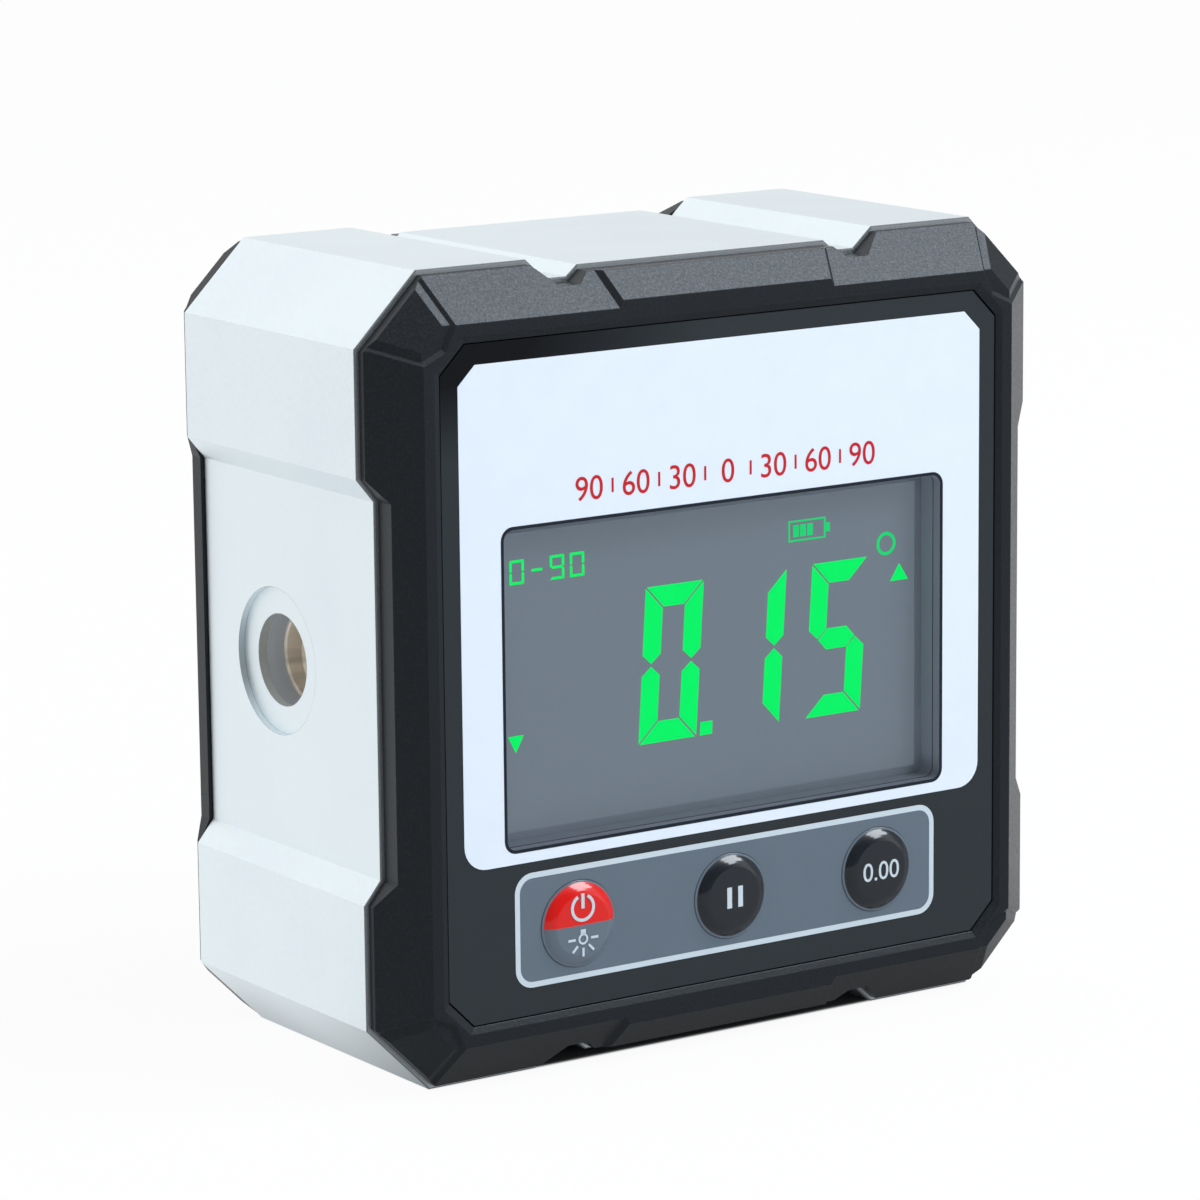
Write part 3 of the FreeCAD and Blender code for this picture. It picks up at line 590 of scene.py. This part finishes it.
class INCLINOMETER_OT_scale(PieceOperator, bpy.types.Operator):
    """Plain red scale with numbers above the display"""
    bl_idname = "inclinometer.scale"
    bl_label = "Scale"

    def execute(self, context):
        colours, prints = settings().colours, settings().prints
        pitch, foot, size = prints.scale_pitch / MM, prints.scale_base / MM, prints.scale_size / MM
        bm = bmesh.new()
        for step in range(-3, 4):
            number(bm, str(abs(step) * 30), step * pitch, foot, size)
        for step in range(-3, 3):
            x = (step + 0.5) * pitch
            bar(bm, (x, foot + size * 0.2), (x, foot + size * 0.8), 0.18)
        red = smooth_plastic("red_print", colours.scale, 0.34, 0.3)
        piece(stand(bm, PLATE_FRONT - 1.6 * INK), "scale_marks", red)
        return {"FINISHED"}


def segment_shapes(width, height, stroke, gap):
    """Corners of the seven segments of a digit, from the top clockwise, then the middle."""
    def flip(points):
        return [(x, height - y) for x, y in points]

    middle, half = height / 2, stroke / 2
    near, far = stroke + gap, width - stroke - gap
    top = [(gap, height), (width - gap, height), (far, height - stroke), (near, height - stroke)]
    left = [(0, height - gap), (stroke, height - near), (stroke, middle + half), (half, middle + gap),
            (0, middle + half)]
    right = [(width - x, y) for x, y in left]
    cross = [(half + gap, middle), (near, middle + half), (far, middle + half),
             (width - half - gap, middle), (far, middle - half), (near, middle - half)]
    return [top, right, flip(right), flip(top), flip(left), left, cross]


LIT = {
    "0": (0, 1, 2, 3, 4, 5), "1": (1, 2), "2": (0, 1, 3, 4, 6), "3": (0, 1, 2, 3, 6), "4": (1, 2, 5, 6),
    "5": (0, 2, 3, 5, 6), "6": (0, 2, 3, 4, 5, 6), "7": (0, 1, 2), "8": (0, 1, 2, 3, 4, 5, 6),
    "9": (0, 1, 2, 3, 5, 6), "-": (6,),
}
POINT = [(0.0, 0.0), (1.1, 0.0), (1.15, 1.0), (0.05, 1.0)]     # corners of the decimal point
POINT_GAP = 0.35                # from a figure to the point after it


def write_digits(bm, text, right_end, foot, width, height, stroke, pitch, slant, gap=0.1):
    """Write figures of seven segments so that the last one ends at right_end."""
    lean = math.tan(slant)
    shapes = segment_shapes(width, height, stroke, gap)
    figures = [c for c in text if c != "."]
    x = right_end - width - (len(figures) - 1) * pitch
    for character in text:
        if character == ".":
            left = x - pitch + width + POINT_GAP
            patch(bm, [(left + u, foot + v) for u, v in POINT])
            continue
        for index in LIT[character]:
            patch(bm, [(x + u + v * lean, foot + v) for u, v in shapes[index]])
        x += pitch
    return bm


# where things stand on the display, in millimetres across and up
READING_END = 13.75
RANGE_END, RANGE_FOOT = -11.3, 36.65
RANGE_FIGURE = (1.25, 1.8, 0.2, 1.75)           # width, height, stroke and pitch
UP_POINTER = [(16.65, 32.95), (18.35, 32.95), (17.5, 34.25)]
DOWN_POINTER = [(-18.1, 25.5), (-17.45, 24.25), (-16.75, 25.5)]
DEGREE_PLACE, DEGREE_RADIUS, DEGREE_LINE = (16.25, 35.9), 0.9, 0.25
BATTERY_SIGN = (7.1, 10.55, 37.0, 38.6)
BATTERY_TIP = (10.6, 10.95, 37.45, 38.15)
BATTERY_LINE = 0.13
BAR_FIRST, BAR_WIDTH, BAR_PITCH = 7.55, 0.5, 0.65
BAR_FOOT, BAR_TOP = 37.35, 38.25

# rings round the display: how far inside the window's outline each begins, and its width
LINING = (0.02, 0.25)
GASKET = (0.31, 0.04)
BORDER = (0.36, 0.6)
LINING_TONE, LINING_SHADE = tone(160, 168, 182), tone(128, 136, 148)


def window_ring(name, material, inset, width, near, far):
    """A ring inside the outline of the display's window, between two depths."""
    low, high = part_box("display_window")
    cut = (max(WINDOW_ROUND - 0.05 - inset, 0.3), 4)
    sides = (low.x / MM + inset, high.x / MM - inset, low.z / MM + inset, high.z / MM - inset)
    bm = sheet(bmesh.new(), *sides, (cut, cut))
    return piece(stand(hollow(bm, width), near, far - near), name, material)


def lining_plastic(bottom):
    """Plastic of the lining, in shade near its bottom."""
    material = smooth_plastic("display_lining", LINING_TONE, 0.6)
    above = between(material, height_of(material, spot(material)), bottom + 0.5 * MM, bottom + 2 * MM)
    into(material, tint(material, above, LINING_SHADE, LINING_TONE), "Base Color")
    return material


class INCLINOMETER_OT_display(PieceOperator, bpy.types.Operator):
    """Display glass, its reading and signs, the clear window and the lining behind it"""
    bl_idname = "inclinometer.display"
    bl_label = "Display"

    def execute(self, context):
        colours, reading = settings().colours, settings().reading
        dress(backlit_glass(colours.display), "lcd_glass")
        dress(clear_window(), "display_window")
        dress(smooth_plastic("light_guide", (0.86, 0.9, 0.88), 0.3), "lcd_backlight")
        lit, faint = lit_segments("lit_digits", colours.digit), lit_segments("lit_signs", colours.sign)
        front = GLASS_FRONT - INK

        bm = bmesh.new()
        write_digits(
            bm, reading.value, READING_END, reading.base / MM, reading.width / MM, reading.height / MM,
            reading.stroke / MM, reading.pitch / MM, reading.slant,
        )
        piece(stand(bm, front), "display_digits", lit)

        bm = bmesh.new()
        patch(bm, UP_POINTER)
        patch(bm, DOWN_POINTER)
        piece(stand(bm, front), "display_pointers", lit)

        bm = bmesh.new()
        write_digits(bm, "0-90", RANGE_END, RANGE_FOOT, *RANGE_FIGURE, slant=0.0, gap=0.02)
        piece(stand(bm, front), "display_range", lit)

        bm = bmesh.new()
        disc(bm, *DEGREE_PLACE, DEGREE_RADIUS)
        hollow(bm, DEGREE_LINE)
        sheet(bm, *BATTERY_SIGN)
        hollow(bm, BATTERY_LINE, last=True)
        for bar_number in range(3):
            left = BAR_FIRST + bar_number * BAR_PITCH
            block(bm, left, left + BAR_WIDTH, BAR_FOOT, BAR_TOP)
        block(bm, *BATTERY_TIP)
        piece(stand(bm, front), "display_signs", faint)

        low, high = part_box("display_window")
        lining = lining_plastic(low.z)
        border = smooth_plastic("display_border", tone(120, 130, 142), 0.5)
        hair = HAIR * MM
        window_ring("window_lining", lining, *LINING, low.y + hair, high.y - hair)
        window_ring("display_gasket", lining, *GASKET, high.y + hair, GLASS_FRONT - hair)
        window_ring("display_edge", border, *BORDER, front, GLASS_FRONT)
        return {"FINISHED"}


def printed_key(key, upper, lower, rim):
    """Glossy key with a round print of two colours, above and below its middle, in a rim of a third."""
    material = shader(key + "_gloss", upper, 0.1, specular=0.8)
    x, z = middle_of(key)
    middle = {"Location": (-x * MM, 0, -z * MM), "Scale": (1, 0, 1)}
    centred = node(material, "ShaderNodeMapping", middle, Vector=spot(material)).outputs[0]
    blur = KEY_PRINT_BLUR
    above = between(material, height_of(material, centred), -blur * MM, blur * MM)
    away = node(material, "ShaderNodeVectorMath", {"operation": "LENGTH"}, Vector=centred).outputs["Value"]
    printed = between(material, away, (KEY_PRINT_RADIUS + blur) * MM, (KEY_PRINT_RADIUS - blur) * MM)
    into(material, tint(material, printed, rim, tint(material, above, lower, upper)), "Base Color")
    cloud = grain(material, 1.2 * MM)
    into(material, between(material, cloud, 0.3, 0.7, 0.08, 0.14), "Roughness")
    return relief(material, grain(material, 0.5 * MM), 0.0004 * MM, edge=0.14 * MM)


def power_sign(bm, x, y):
    """An open ring with a bar through its gap."""
    radius, line, gap_half = 1.05, 0.23, 0.36
    disc(bm, x, y, radius, 40)
    hollow(bm, line)
    middles = [(face, face.calc_center_median()) for face in bm.faces]
    gone = [face for face, middle in middles if abs(middle.x - x) < gap_half and middle.y > y]
    bmesh.ops.delete(bm, geom=gone, context="FACES")
    bar(bm, (x, y - 0.05), (x, y + radius), 0.27)


def light_sign(bm, x, y):
    """A round lamp with its cap above and five rays below."""
    hub = Vector((x, y))
    disc(bm, *hub, 0.42, 24)
    hollow(bm, 0.14, last=True)
    block(bm, x - 0.22, x + 0.22, y + 0.38, y + 0.72)
    for turn in (0, 45, 90, 135, 180):
        way = Vector((math.cos(math.radians(-turn)), math.sin(math.radians(-turn))))
        bar(bm, hub + way * 0.68, hub + way * 1.32, 0.18)


def hold_sign(bm, x, y):
    """Two upright bars."""
    for side in (-0.5, 0.5):
        bar(bm, (x + side, y - 0.8), (x + side, y + 0.8), 0.42)


class INCLINOMETER_OT_keys(PieceOperator, bpy.types.Operator):
    """Three glossy keys with plain signs"""
    bl_idname = "inclinometer.keys"
    bl_label = "Keys"

    def execute(self, context):
        colours = settings().colours
        grey = colours.keypad
        dress(printed_key("power_key", colours.red, grey, grey), "power_key")
        dress(printed_key("hold_key", colours.key, colours.key, grey), "hold_key")
        dress(printed_key("zero_key", colours.key, colours.key, grey), "zero_key")
        dress(smooth_plastic("plunger_plastic", (0.02, 0.02, 0.02), 0.4),
              "power_plunger", "hold_plunger", "zero_plunger")
        pale = smooth_plastic("key_print", colours.line, 0.35, 0.3)
        front, deep = KEY_FRONT - INK, SIGN_DEPTH * MM

        x, y = middle_of("power_key")
        bm = bmesh.new()
        power_sign(bm, x, y + 1.3)
        light_sign(bm, x, y - 1.05)
        piece(stand(bm, front, deep), "power_sign", pale, "power_button")

        bm = bmesh.new()
        hold_sign(bm, *middle_of("hold_key"))
        piece(stand(bm, front, deep), "hold_sign", pale, "hold_button")

        x, y = middle_of("zero_key")
        height = 1.4
        bm = bmesh.new()
        number(bm, "0.00", x, y - height / 2, height)
        piece(stand(bm, front, deep), "zero_sign", pale, "zero_button")
        return {"FINISHED"}


# the quarter-inch thread of the port
THREAD_MAJOR, THREAD_MINOR, THREAD_PITCH = 3.2 * MM, 2.65 * MM, 1.27 * MM
THREAD_LEAD = 0.1 * MM          # bevel at the mouth of the bore
RIDGE_ROOT = 0.05 * MM          # how far a ridge sinks into the wall


def threaded_tube(low, high):
    """A tube that fills the box, along X, with a spiral ridge inside."""
    y, z = (low.y + high.y) / 2, (low.z + high.z) / 2
    outer, major, pitch = (high.z - low.z) / 2, THREAD_MAJOR, THREAD_PITCH
    bm = bmesh.new()
    profile = [(low.x, outer), (high.x, outer), (high.x, major), (low.x + THREAD_LEAD, major),
               (low.x, major + THREAD_LEAD)]
    rim = [bm.verts.new((x, y, z + r)) for x, r in profile]
    edges = [bm.edges.new((rim[i], rim[(i + 1) % len(rim)])) for i in range(len(rim))]
    bmesh.ops.spin(
        bm, geom=rim + edges, cent=(low.x, y, z), axis=(1, 0, 0), dvec=(0, 0, 0),
        angle=math.tau, steps=64, use_merge=True,
    )
    bmesh.ops.recalc_face_normals(bm, faces=bm.faces)

    turns = int((high.x - low.x - 1.8 * pitch) / pitch)
    steps = 48 * turns
    start = low.x + 0.75 * pitch
    foot, crest = 0.45 * pitch, 0.07 * pitch
    ridge = [(start - foot, major + RIDGE_ROOT), (start + foot, major + RIDGE_ROOT),
             (start + crest, THREAD_MINOR), (start - crest, THREAD_MINOR)]
    tooth = bm.faces.new([bm.verts.new((x, y, z + r)) for x, r in ridge])
    bmesh.ops.spin(
        bm, geom=[tooth], cent=(low.x, y, z), axis=(1, 0, 0), dvec=(turns * pitch / steps, 0, 0),
        angle=math.tau * turns, steps=steps, use_merge=False,
    )
    bmesh.ops.recalc_face_normals(bm, faces=bm.faces)
    return bm


class INCLINOMETER_OT_port(PieceOperator, bpy.types.Operator):
    """Brass insert with a cut thread, and the rubber ring in front of it"""
    bl_idname = "inclinometer.port"
    bl_label = "Threaded port"

    def execute(self, context):
        tube = threaded_tube(*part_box("thread_insert"))
        insert = piece(tube, "brass_insert", bright_brass(settings().colours.brass))
        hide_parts("thread_insert")
        dress(smooth_plastic("seal_rubber", tone(184, 190, 196), 0.6, 0.3), "port_seal")
        return {"FINISHED"}


class INCLINOMETER_OT_metalwork(PieceOperator, bpy.types.Operator):
    """Screws, magnets, switches and battery contacts"""
    bl_idname = "inclinometer.metalwork"
    bl_label = "Screws, magnets and contacts"

    def execute(self, context):
        dress(turned_metal("plated_steel", (0.42, 0.43, 0.45), 0.3), "cover_screws", "board_screws")
        dress(turned_metal("nickel_plate", (0.66, 0.65, 0.62), 0.16, 2 * MM), "base_magnets")
        dress(turned_metal("spring_steel", (0.62, 0.61, 0.57), 0.3, 0.4 * MM, (1, 1, 6)),
              "plus_contact", "minus_contact", "bridge_contact")
        dress(turned_metal("stamped_steel", (0.6, 0.6, 0.6), 0.35, 0.4 * MM), "key_switches")
        return {"FINISHED"}


def sleeve(colour, band, minus, plus):
    """Cell sleeve with a band of another colour at its plus end and bare metal tips."""
    material = shader("cell_sleeve", colour, 0.3, metallic=0.4)
    share = between(material, height_of(material, spot(material)), minus, plus)
    bands = material.node_tree.nodes.new("ShaderNodeValToRGB")
    bands.color_ramp.interpolation = "CONSTANT"
    bare = (0.7, 0.7, 0.68)
    stops = ((0.0, bare), (0.03, colour), (0.72, band), (0.965, bare))
    elements = bands.color_ramp.elements
    for index, (position, shade) in enumerate(stops):
        element = elements[0] if index == 0 else elements.new(position)
        element.position = position
        element.color = (*shade, 1)
    material.node_tree.links.new(share, bands.inputs[0])
    into(material, bands.outputs[0], "Base Color")
    return relief(material, grain(material, 0.8 * MM), 0.002 * MM)


class INCLINOMETER_OT_cells(PieceOperator, bpy.types.Operator):
    """Two plain cells"""
    bl_idname = "inclinometer.cells"
    bl_label = "Cells"

    def execute(self, context):
        blue, gold = (0.06, 0.1, 0.14), (0.45, 0.3, 0.08)
        low, high = (corner.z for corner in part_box("cell_left"))
        dress(sleeve(blue, gold, low, high), "cell_left")
        low, high = (corner.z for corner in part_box("cell_right"))
        dress(sleeve(blue, gold, high, low), "cell_right")
        return {"FINISHED"}


class INCLINOMETER_OT_inside(PieceOperator, bpy.types.Operator):
    """Circuit board and the other parts inside"""
    bl_idname = "inclinometer.inside"
    bl_label = "Inside"

    def execute(self, context):
        dress(smooth_plastic("board_mask", (0.015, 0.12, 0.05), 0.3, 0.4, 1.5 * MM), "main_board")
        dress(smooth_plastic("chip_package", (0.015, 0.015, 0.016), 0.5), "controller_chip", "tilt_sensor")
        dress(smooth_plastic("capacitor_ceramic", (0.35, 0.22, 0.12), 0.5), "board_capacitors")
        dress(smooth_plastic("holder_plastic", (0.75, 0.75, 0.72), 0.5), "lcd_holder")
        dress(smooth_plastic("strip_rubber", (0.05, 0.05, 0.055), 0.7), "contact_strip")
        return {"FINISHED"}


# ---- stage ----
LAMP_PLACE, LAMP_SIZE = (0.51, -0.43, 0.70), 0.55
CAMERA_PLACE, CAMERA_LENS = (-0.216383, -0.317098, 0.107233), 154.22
CAMERA_AZIMUTH, CAMERA_ELEVATION, CAMERA_ROLL = 34.159, 11.165, -0.570


def seen_directly(tree):
    """1 for rays from the camera and for mirrored and transmitted rays, else 0."""
    path = tree.nodes.new("ShaderNodeLightPath").outputs
    through = sums(tree, "MAXIMUM", path["Is Glossy Ray"], path["Is Transmission Ray"])
    return sums(tree, "MAXIMUM", path["Is Camera Ray"], through)


def feet_reach():
    """How far the feet of the ring reach from the middle, along X and along Y."""
    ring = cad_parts["body_frame"]
    places = [ring.matrix_world @ vertex.co for vertex in ring.data.vertices]
    feet = [place for place in places if place.z < 0.15 * MM]
    return max(abs(place.x) for place in feet), max(abs(place.y) for place in feet)


def make_floor(colour):
    """Pale floor, white from the camera; its matte share keeps the shadow, and the feet stand on a painted
    shadow.
    """
    bm = bmesh.new()
    bmesh.ops.create_grid(bm, x_segments=1, y_segments=1, size=3.0)
    mesh = bpy.data.meshes.new("floor")
    bm.to_mesh(mesh)
    bm.free()
    floor = bpy.data.objects.new("floor", mesh)
    bpy.context.scene.collection.objects.link(floor)
    material = bpy.data.materials.new("pale_floor")
    material.use_nodes = True
    tree = material.node_tree
    tree.nodes.clear()
    place = tree.nodes.new("ShaderNodeSeparateXYZ")
    tree.links.new(tree.nodes.new("ShaderNodeTexCoord").outputs["Object"], place.inputs[0])
    reach_x, reach_y = feet_reach()
    past_sides = sums(tree, "SUBTRACT", sums(tree, "ABSOLUTE", place.outputs["X"]), reach_x)
    past_front = sums(tree, "SUBTRACT", sums(tree, "ABSOLUTE", place.outputs["Y"]), reach_y)
    past_feet = sums(tree, "MAXIMUM", past_sides, past_front)
    outside = ramp(tree, past_feet, -0.4 * MM, 0.2 * MM, 0.0, 0.94)

    matte = tree.nodes.new("ShaderNodeBsdfDiffuse")
    # painted shadow: under the feet the floor's colour goes down to 0.12 of itself
    under = tint(material, ramp(tree, past_feet, -0.8 * MM, 0.0, 0.0, 1.0), brighter(colour, 0.12), colour)
    tree.links.new(under, matte.inputs["Color"])
    glow = tree.nodes.new("ShaderNodeEmission")
    ahead = ramp(tree, place.outputs["Y"], 0.005, -0.022, 1.0, 0.28)
    near = ramp(tree, past_feet, -1 * MM, 8 * MM, 0.62, 1.0)
    mirrored = tree.nodes.new("ShaderNodeLightPath").outputs["Is Glossy Ray"]
    tree.links.new(mixed(tree, mirrored, 1.0, sums(tree, "MULTIPLY", ahead, near)), glow.inputs["Strength"])
    mix = tree.nodes.new("ShaderNodeMixShader")
    tree.links.new(sums(tree, "MULTIPLY", outside, seen_directly(tree)), mix.inputs[0])
    tree.links.new(matte.outputs[0], mix.inputs[1])
    tree.links.new(glow.outputs[0], mix.inputs[2])
    out = tree.nodes.new("ShaderNodeOutputMaterial")
    tree.links.new(mix.outputs[0], out.inputs["Surface"])
    mesh.materials.append(material)


def toward(tree, way, axis):
    """How nearly a way points along an axis, from -1 to 1."""
    dot = tree.nodes.new("ShaderNodeVectorMath")
    dot.operation = "DOT_PRODUCT"
    tree.links.new(way, dot.inputs[0])
    dot.inputs[1].default_value = Vector(axis).normalized()
    return dot.outputs["Value"]


def mixed(tree, share, low, high):
    """A value that goes from low to high with the share. Both may be sockets or numbers."""
    mix = tree.nodes.new("ShaderNodeMix")
    tree.links.new(share, mix.inputs[0])
    for index, value in ((2, low), (3, high)):
        if isinstance(value, bpy.types.NodeSocket):
            tree.links.new(value, mix.inputs[index])
        else:
            mix.inputs[index].default_value = value
    return mix.outputs[0]


def make_surroundings(level):
    """White all round for the eye and a soft level for light.

    In gloss it is dim in front and on the right, and a little brighter behind.
    """
    world = bpy.data.worlds.new("studio")
    bpy.context.scene.world = world
    world.use_nodes = True
    tree = world.node_tree
    tree.nodes.clear()
    way = tree.nodes.new("ShaderNodeTexCoord").outputs["Generated"]
    in_front = ramp(tree, toward(tree, way, (-0.25, -0.96, 0.05)), 0.35, 0.85, 0.8, 0.05)
    on_right = ramp(tree, toward(tree, way, (0.96, 0.12, 0.2)), 0.80, 0.96, 1.0, 0.3)
    behind = ramp(tree, toward(tree, way, (-0.19, 0.81, 0.55)), 0.5, 0.95, 1.0, 1.34)
    path = tree.nodes.new("ShaderNodeLightPath").outputs
    seen = sums(tree, "MULTIPLY", sums(tree, "MULTIPLY", in_front, on_right), behind)
    light = mixed(tree, path["Is Glossy Ray"], level, seen)
    plain = sums(tree, "MAXIMUM", path["Is Camera Ray"], path["Is Transmission Ray"])
    back = tree.nodes.new("ShaderNodeBackground")
    back.inputs["Color"].default_value = (1, 1, 1, 1)
    tree.links.new(mixed(tree, plain, light, 1.0), back.inputs["Strength"])
    out = tree.nodes.new("ShaderNodeOutputWorld")
    tree.links.new(back.outputs[0], out.inputs["Surface"])


def make_lamp(name, place, size, power):
    """A square soft lamp that faces the instrument, and leaves the pale ring to the light all round."""
    lamp = bpy.data.lights.new(name, "AREA")
    lamp.size = size
    lamp.energy = power
    lamp.color = (0.88, 0.94, 1.0)
    holder = bpy.data.objects.new(name, lamp)
    bpy.context.scene.collection.objects.link(holder)
    holder.location = place
    aim = Vector((0, 0, 0.03)) - Vector(place)
    holder.rotation_euler = aim.to_track_quat("-Z", "Y").to_euler()
    left_out = bpy.data.collections.new("lamp_receivers")
    left_out.objects.link(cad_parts["body_frame"])
    left_out.collection_objects[0].light_linking.link_state = "EXCLUDE"
    holder.light_linking.receiver_collection = left_out


def make_camera():
    """Camera ahead and to the left, a little above, and turned a little about its axis."""
    azimuth, elevation = math.radians(CAMERA_AZIMUTH), math.radians(CAMERA_ELEVATION)
    roll = math.radians(CAMERA_ROLL)
    back = Vector((-math.sin(azimuth) * math.cos(elevation), -math.cos(azimuth) * math.cos(elevation),
                   math.sin(elevation)))
    right = (-back).cross(Vector((0, 0, 1))).normalized()
    up = right.cross(-back)
    turned_right = right * math.cos(roll) + up * math.sin(roll)
    turned_up = up * math.cos(roll) - right * math.sin(roll)
    pose = Matrix((turned_right, turned_up, back)).transposed().to_4x4()
    pose.translation = CAMERA_PLACE
    data = bpy.data.cameras.new("camera")
    data.sensor_width = 36
    data.lens = CAMERA_LENS
    data.clip_start = 0.01
    camera = bpy.data.objects.new("camera", data)
    bpy.context.scene.collection.objects.link(camera)
    camera.matrix_world = pose
    bpy.context.scene.camera = camera


class INCLINOMETER_OT_stage(PieceOperator, bpy.types.Operator):
    """Pale floor, soft light and camera"""
    bl_idname = "inclinometer.stage"
    bl_label = "Stage"

    def execute(self, context):
        stage = settings().stage
        make_floor(stage.floor)
        make_surroundings(stage.sky)
        make_lamp("overhead_lamp", LAMP_PLACE, LAMP_SIZE, stage.lamp)
        make_camera()
        context.scene.view_settings.view_transform = "Standard"
        return {"FINISHED"}


OPERATORS = (
    INCLINOMETER_OT_ring, INCLINOMETER_OT_covers, INCLINOMETER_OT_panel, INCLINOMETER_OT_scale,
    INCLINOMETER_OT_display, INCLINOMETER_OT_keys, INCLINOMETER_OT_port, INCLINOMETER_OT_metalwork,
    INCLINOMETER_OT_cells, INCLINOMETER_OT_inside, INCLINOMETER_OT_stage,
)


class INCLINOMETER_PT_panel(bpy.types.Panel):
    """Sidebar list of the pieces and their settings"""
    bl_idname = "INCLINOMETER_PT_panel"
    bl_label = "Inclinometer"
    bl_space_type = "VIEW_3D"
    bl_region_type = "UI"
    bl_category = "Inclinometer"

    def draw(self, context):
        layout = self.layout
        for operator in OPERATORS:
            layout.operator(operator.bl_idname)
        for group in (settings().colours, settings().prints, settings().reading, settings().stage):
            box = layout.box()
            for name in group.__annotations__:
                box.prop(group, name)


CLASSES = (
    InclinometerColours, InclinometerPrints, InclinometerReading, InclinometerStage, InclinometerSettings,
    *OPERATORS, INCLINOMETER_PT_panel,
)


def register():
    for made in CLASSES:
        bpy.utils.register_class(made)
    bpy.types.Scene.inclinometer = bpy.props.PointerProperty(type=InclinometerSettings)


def unregister():
    del bpy.types.Scene.inclinometer
    for made in reversed(CLASSES):
        bpy.utils.unregister_class(made)


def main():
    register()
    for operator in OPERATORS:
        group, name = operator.bl_idname.split(".")
        getattr(getattr(bpy.ops, group), name)()


if __name__ == "__main__":
    main()
